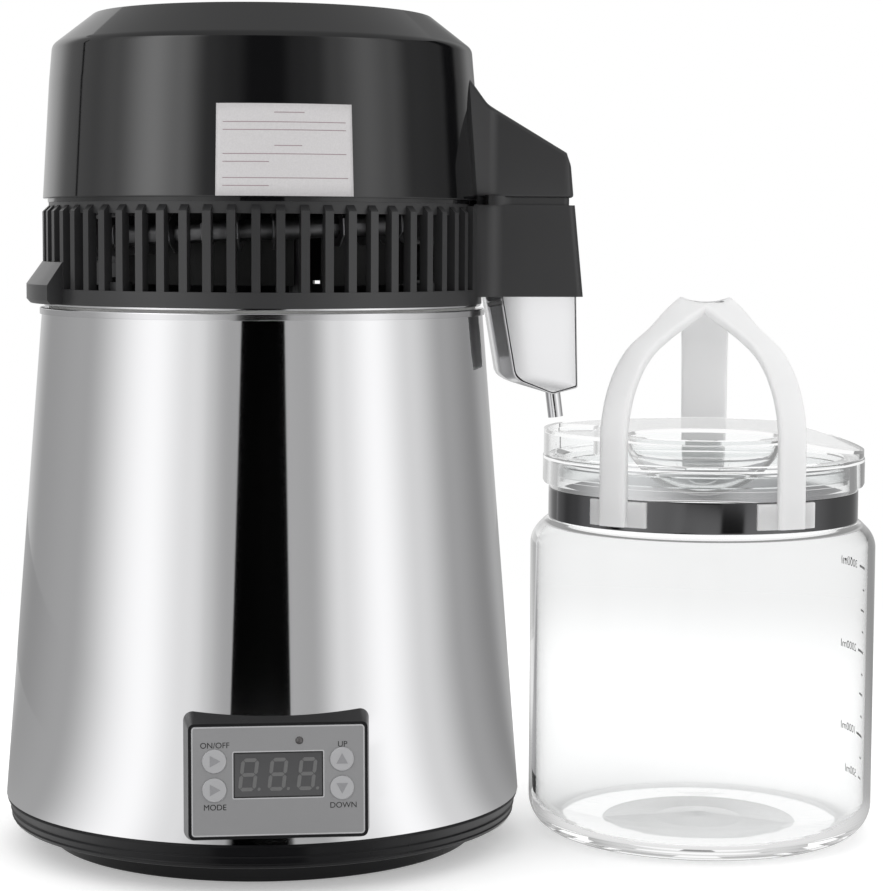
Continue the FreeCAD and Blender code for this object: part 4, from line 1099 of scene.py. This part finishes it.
def dipped(points):
    """Top of the crown cut down to a long shallow groove that runs from front to rear.

    Groove's height = crest - depth + R - sqrt(R^2 - x^2), with R from its half width and depth."""
    crest, wide, deep = 243.5, 9.5, 1.8
    bow = (wide**2 + deep**2) / (2 * deep)
    x = np.clip(np.abs(points[..., 0]), 0, bow - 0.01)
    groove = crest - deep + bow - np.sqrt(bow**2 - x**2)
    return np.stack([points[..., 0], points[..., 1], np.minimum(points[..., 2], groove)], -1)


def strap(name, width, thick, angle, spread):
    """Strap of the handle: a rounded rectangle carried up a leg, round one long bend and on to the peak.

    Near the peak it widens by the share spread x (3 t^2 - 2 t^3), t from 0 at radius 42 mm to 1 at 12 mm."""
    foot, bend, end, far = 146.4, 47.0, 5.0, 42.0
    slope = (PEAK - EAVE) / (STRAP_INNER + thick)
    ridge = PEAK - thick * math.hypot(1, slope) / 2
    centre = STRAP_INNER + thick / 2
    corners = [(centre, foot), (centre, ridge - slope * centre, bend - thick / 2), (end, ridge - slope * end)]
    path = resampled(rounded(corners, 24), 2.5)
    tangent = along(path)
    ring = ring_outline(width, thick, 1.3, 4)
    across, out = resampled(np.concatenate([ring, ring[:1]]), 1.6)[:-1].T
    near = np.clip((far - path[:, :1]) / (far - 12.0), 0, 1)
    across = across * (1 + spread * near * near * (3 - 2 * near))
    rings = np.stack([path[:, :1] + out * tangent[:, 1:], across, path[:, 1:] - out * tangent[:, :1]], -1)
    return section_loft(name, jug_place(dipped(round_z(rings, angle))))


def crown():
    """Conical plate between the straps: height = peak - slope x radius, cut by the groove."""
    radii = np.concatenate([np.linspace(0.5, 13.2, 22), [13.7, 13.95, 14.0, 14.0, 13.6, 12.8, 0.5]])
    top = PEAK - (PEAK - EAVE) / 77.7 * radii
    top[22:] = [top[21] - 0.45, top[21] - 0.8, top[21] - 1.2, 238.0, 237.4, 237.2, 237.2]
    grid = polar(radii[:, None], around(72), top[:, None])
    return section_loft("crown", jug_place(dipped(grid)))


class DISTILLER_OT_handle(SurfaceOperator, bpy.types.Operator):
    """Milky three-legged handle"""

    bl_idname = "distiller.handle"
    bl_label = "Handle"

    def execute(self, context):
        s = context.scene.distiller_jug
        thick, front, rear = s.strap_thickness * 1000, s.front_width * 1000, s.rear_width * 1000
        parts = [
            strap("strap_left", front, thick, -120.3, 0.5),
            strap("strap_right", front, thick, -59.7, 0.5),
            strap("strap_rear", rear, thick, 90.0, 0.0),
            crown(),
        ]
        for span in FOOT_SPANS:
            parts.append(curved_bar("foot", 73.3, 75.6, 146.2, 157.4, *span, 0.5))
        handle = united("handle_straps", parts, "handle", sharp=42)
        wear(handle, milky("handle_milky", s.handle))
        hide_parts("jug_handle")
        return {"FINISHED"}


# ---------------------------------------------------------------- stage
def glow(name, level, ramp=None):
    """Plain glow, or one that changes with the bearing about the body.

    Ramp stops are (degrees from the front, strength). The bearing is atan2(x, -y) about the body's axis."""
    made = blank_material(name)
    light = put(made, "Emission", {"Strength": level})
    put(made, "OutputMaterial", {0: light.outputs[0]})
    if ramp is None:
        return made
    where = put(made, "TexCoord").outputs["Object"]
    moved = put(made, "Mapping", {"Vector": where, "Location": tuple(-BODY_AXIS)})
    parts = put(made, "SeparateXYZ", {"Vector": moved.outputs[0]}).outputs
    back = put(made, "Math", {0: parts["Y"], 1: -1.0}, operation="MULTIPLY")
    bearing = put(made, "Math", {0: parts["X"], 1: back.outputs[0]}, operation="ARCTAN2")
    share = put(made, "MapRange", {"Value": bearing.outputs[0], "From Min": -math.pi, "From Max": math.pi})
    colours = put(made, "ValToRGB", {"Fac": share.outputs[0]})
    colours.color_ramp.interpolation = "EASE"
    spots = colours.color_ramp.elements
    spots.remove(spots[-1])
    for i, (angle, strength) in enumerate(ramp):
        place = (angle + 180) / 360
        spot = spots[0] if i == 0 else spots.new(place)
        spot.position = place
        spot.color = (*[strength / level] * 3, 1)
    link(made, colours.outputs[0], light.inputs["Color"])
    return made


def studio_card(name, angles, heights, reach, made, ring=False):
    """Card round the body, seen in reflections alone: bearings in degrees, heights and reach in metres."""
    card = wear(sheet(name, on_wall(angles, heights, reach) + BODY_AXIS, wrap_columns=ring), made)
    for kind in ("camera", "diffuse", "transmission", "volume_scatter", "shadow"):
        setattr(card, "visible_" + kind, False)


def studio_ring(name, profile, made):
    """Card that goes all round, from a profile (radius, height)."""
    profile = np.array(profile, float)
    studio_card(name, np.arange(128) * 360 / 128, profile[:, 1:], profile[:, :1], made, ring=True)


def studio_flag(name, bottom, top, low, high, made, reach=1.49):
    """Upright card between two bearings, which may differ at its foot and its head."""
    bearings = np.array([np.linspace(*span, 9) for span in (bottom, top)])
    studio_card(name, bearings, np.array([[low], [high]]), reach, made)


def seen_directly(made):
    """1 for rays that show a background: from the camera, in gloss and through glass."""
    rays = put(made, "LightPath").outputs
    first = put(made, "Math", {0: rays["Is Camera Ray"], 1: rays["Is Glossy Ray"]}, operation="MAXIMUM")
    both = put(made, "Math", {0: first.outputs[0], 1: rays["Is Transmission Ray"]}, operation="MAXIMUM")
    return both.outputs[0]


def floor_material(colour):
    """Pale floor that keeps the object's shadow and fades to the white background away from it."""
    made = blank_material("floor_pale")
    matt = {"Base Color": (*colour, 1), "Roughness": 0.9, "Specular IOR Level": 0.0}
    shader = put(made, "BsdfPrincipled", matt)
    seen = seen_directly(made)
    lift = put(made, "Math", {0: seen, 1: FLOOR_LIFT}, operation="MULTIPLY")
    soft = put(made, "Emission", {"Strength": lift.outputs[0]})
    near = put(made, "AddShader", {0: shader.outputs[0], 1: soft.outputs[0]})
    where = put(made, "TexCoord").outputs["Object"]
    flat = put(made, "VectorMath", {0: where, 1: (1, 1, 0)}, operation="MULTIPLY")
    reach = put(made, "VectorMath", {0: flat.outputs[0]}, operation="LENGTH").outputs["Value"]
    start, end = 0.35, 0.8
    span = {"Value": reach, "From Min": start, "From Max": end}
    fade = put(made, "MapRange", span, interpolation_type="SMOOTHSTEP")
    share = put(made, "Math", {0: fade.outputs[0], 1: seen}, operation="MULTIPLY")
    white = put(made, "Emission", {"Strength": 1.0})
    mixed = put(made, "MixShader", {0: share.outputs[0], 1: near.outputs[0], 2: white.outputs[0]})
    put(made, "OutputMaterial", {0: mixed.outputs[0]})
    return made


def world_background(strength):
    """White to the camera, in gloss and through glass; a plain soft light otherwise."""
    world = bpy.data.worlds.new("studio")
    bpy.context.scene.world = world
    world.use_nodes = True
    world.node_tree.nodes.clear()
    soft, white = (put(world, "Background", {"Color": (1, 1, 1, 1), "Strength": k}) for k in (strength, 1.0))
    mix = put(world, "MixShader", {0: seen_directly(world), 1: soft.outputs[0], 2: white.outputs[0]})
    put(world, "OutputWorld", {0: mix.outputs[0]})


def soft_lamp(name, place, size, power, target=(0.0, 0.0, 0.15)):
    """Area lamp turned to its target. It isn't seen in gloss."""
    lamp = bpy.data.lights.new(name, "AREA")
    lamp.shape = "RECTANGLE"
    lamp.size, lamp.size_y = size
    lamp.energy = power
    obj = linked(name, lamp)
    obj.location = place
    obj.rotation_euler = (Vector(target) - Vector(place)).to_track_quat("-Z", "Y").to_euler()
    obj.visible_glossy = False
    return obj


# Pieces left out of reflections, so that the steel keeps its plain studio gradient.
UNMIRRORED = ("jar_", "band_", "scale_", "jug_lid", "lid_seal", "handle_", "nozzle_", "outlet_tube")
UNMIRRORED += ("panel_", "faceplate", "plate_", "window_", "unlit_", "mark_", "print_", "key_", "display_")
UNMIRRORED += ("lamp_",)

# Strengths of the reflected studio by bearing: a large soft box left and right, darker corners behind.
WALL_LIGHT = [(-180, 0.85), (-164, 0.6), (-137, 0.36), (-100, 0.42), (-57, 1.19), (-37, 0.88), (-18, 0.42)]
WALL_LIGHT += [(8, 0.46), (18, 0.44), (33, 0.86), (52, 1.18), (73, 0.79), (98, 0.41), (123, 0.29)]
WALL_LIGHT += [(143, 0.44), (160, 0.5), (180, 0.85)]
NEAR_LIGHT = [stop for stop in WALL_LIGHT if not -20 < stop[0] < 10]
NEAR_LIGHT = sorted(NEAR_LIGHT + [(-17, 0.42), (-15.8, 0.42), (-15.2, 0.0), (6.9, 0.0), (7.4, 0.45)])
FLOOR_LIGHT = [(-180, 0.7), (-164, 0.42), (-137, 0.32), (-100, 0.42), (-57, 1.19), (-37, 0.88)]
FLOOR_LIGHT += [(-30, 0.8), (-19, 0.95), (-17, 0.02), (-7, 0.02), (-5, 0.95), (40, 0.98)]
FLOOR_LIGHT += [(52, 1.18), (73, 0.79), (98, 0.41), (123, 0.29), (143, 0.44), (160, 0.4), (180, 0.7)]
FAR_LIGHT = [stop for stop in FLOOR_LIGHT if not -18 < stop[0] < 50]
FAR_LIGHT = sorted(FAR_LIGHT + [(-17, 0.9), (-2, 0.9), (8, 0.9), (10, 0.02), (24, 0.02), (26, 0.98)])
HIGH_LIGHT = [(-180, 0.6), (-142, 1.1), (-122, 0.55), (-100, 0.55), (-84, 0.85), (-60, 2.6), (-46, 1.8)]
HIGH_LIGHT += [(-30, 0.35), (-18, 0.2), (-8, 0.0), (5, 0.0), (14, 0.18), (24, 0.27), (34, 0.7), (52, 1.4)]
HIGH_LIGHT += [(66, 0.95), (80, 0.3), (104, 0.18), (111, 0.0), (118, 0.0), (124, 0.25), (142, 0.55)]
HIGH_LIGHT += [(160, 0.3), (180, 0.6)]
GLOW = 3.0  # strength that stands for white in the ramps
FLOOR_LIFT = 0.34  # glow that the floor adds to what the lamps give it, for rays that show it

# The studio's sizes in metres: the floor cards' height and the rings' edges, and the wall's foot and head.
CARD_Z = 0.0006
HOLE, NEAR, SWEEP, WALL = 0.118, 0.56, 1.1, 1.5
WALL_FOOT, WALL_HEAD = 0.45, 1.3


class DISTILLER_OT_stage(SurfaceOperator, bpy.types.Operator):
    """Floor, reflected studio walls and flags, lamps, world and camera"""

    bl_idname = "distiller.stage"
    bl_label = "Stage"

    def execute(self, context):
        scene = context.scene
        s = scene.distiller_stage
        scene.view_settings.view_transform = "Standard"
        # A view through lid and neck crosses up to 22 faces.
        scene.cycles.max_bounces = scene.cycles.transmission_bounces = 28
        world_background(s.sky)
        corners = np.array([[-4, -4, 0], [4, -4, 0], [4, 4, 0], [-4, 4, 0]], float)
        floor = add_mesh("floor", corners, [[0, 1, 2, 3]])
        wear(floor, floor_material(s.floor))
        for name, look, inner, outer, ramp in (
            ("studio_sweep", "sweep_glow", NEAR, SWEEP, FLOOR_LIGHT),
            ("studio_sweep_far", "far_glow", SWEEP, WALL, FAR_LIGHT),
            ("studio_near", "near_glow", HOLE, NEAR, NEAR_LIGHT),
        ):
            studio_ring(name, [(inner, CARD_Z), (outer, CARD_Z)], glow(look, GLOW, ramp))
        studio_ring("studio_wall", [(WALL, CARD_Z), (WALL, WALL_FOOT)], glow("wall_glow", GLOW, WALL_LIGHT))
        angles = np.linspace(-180, 180, 129)[None]
        foot = WALL_FOOT - 0.15 * np.clip((np.abs(angles) - 60) / 90, 0, 1)
        heights = np.concatenate([foot, np.full(foot.shape, WALL_HEAD)])
        studio_card("studio_high_wall", angles, heights, 1.495, glow("high_glow", GLOW, HIGH_LIGHT))
        ceiling = [(WALL, WALL_HEAD), (1.2, 1.6), (0.01, 1.7)]
        studio_ring("studio_ceiling", ceiling, glow("ceiling_glow", 0.5))
        black = glow("flag_black", 0.0)
        studio_flag("flag_front", (-17.3, 8.6), (-13.1, 7.35), CARD_Z, WALL_FOOT, black)
        studio_flag("flag_left", (-113.0, -111.3), (-113.0, -111.3), 0.36, 0.9, black)
        studio_flag("flag_lid", (146, 176), (146, 176), 0.245, 0.37, glow("lid_glow", 1.0), 1.48)
        for obj in scene.objects:
            if obj.name.startswith(UNMIRRORED):
                obj.visible_glossy = False
        self.lamps(scene)
        self.camera(scene, s.focal)
        return {"FINISHED"}

    def lamps(self, scene):
        """Three soft lamps, and one in front that lights the nozzle's cover alone."""
        soft_lamp("key_left", (-1.2, -1.0, 1.2), (0.9, 0.9), 3.5)
        soft_lamp("fill_right", (1.3, -0.9, 0.9), (0.9, 0.9), 2.0)
        soft_lamp("top", (0.0, 0.2, 1.5), (1.2, 1.2), 3.0)
        spot, target = BODY_AXIS + on_wall(13.9, 0.155, 1.42), BODY_AXIS + (0.12, 0, 0.22)
        card = soft_lamp("card_nozzle", spot, (0.5, 0.3), 0.3, target)
        card.visible_glossy = True
        card.visible_camera = False
        lit = bpy.data.collections.new("nozzle_lit")
        lit.objects.link(scene.objects["nozzle_shroud"])
        card.light_linking.receiver_collection = lit

    def camera(self, scene, focal):
        """Camera before the body: its bearing, its turn away from the body, tilt and roll, in radians."""
        camera = linked("camera", bpy.data.cameras.new("camera"))
        camera.data.lens = focal
        turn, yaw, tilt, roll = 0.04887, 0.0722, 0.0851, 0.00485
        reach, height = 1.1113, 0.2717
        camera.location = BODY_AXIS + [-reach * math.sin(turn), -reach * math.cos(turn), height]
        aim = Euler((math.pi / 2 - tilt, 0, -(yaw + turn))).to_matrix() @ Matrix.Rotation(roll, 3, "Z")
        camera.rotation_euler = aim.to_euler()
        scene.camera = camera


PIECES = (
    DISTILLER_OT_base,
    DISTILLER_OT_shell,
    DISTILLER_OT_panel,
    DISTILLER_OT_cap,
    DISTILLER_OT_grille,
    DISTILLER_OT_nozzle,
    DISTILLER_OT_jar,
    DISTILLER_OT_lid,
    DISTILLER_OT_handle,
    DISTILLER_OT_stage,
)


class DISTILLER_PT_sidebar(bpy.types.Panel):
    """Lists the pieces and their settings"""

    bl_label = "Distiller"
    bl_idname = "DISTILLER_PT_sidebar"
    bl_space_type = "VIEW_3D"
    bl_region_type = "UI"
    bl_category = "Distiller"

    def draw(self, context):
        for piece in PIECES:
            self.layout.operator(piece.bl_idname)
        for group in SETTINGS:
            box = self.layout.box()
            for key in SETTINGS[group].__annotations__:
                box.prop(getattr(context.scene, group), key)


SETTINGS = {
    "distiller_body": BodySettings,
    "distiller_head": HeadSettings,
    "distiller_panel": PanelSettings,
    "distiller_jug": JugSettings,
    "distiller_stage": StageSettings,
}
CLASSES = (*SETTINGS.values(), *PIECES, DISTILLER_PT_sidebar)


def register():
    for group in CLASSES:
        bpy.utils.register_class(group)
    for name, group in SETTINGS.items():
        setattr(bpy.types.Scene, name, bpy.props.PointerProperty(type=group))


def unregister():
    for name in SETTINGS:
        delattr(bpy.types.Scene, name)
    for group in reversed(CLASSES):
        bpy.utils.unregister_class(group)


def main():
    register()
    for piece in PIECES:
        area, verb = piece.bl_idname.split(".")
        getattr(getattr(bpy.ops, area), verb)()


if __name__ == "__main__":
    main()
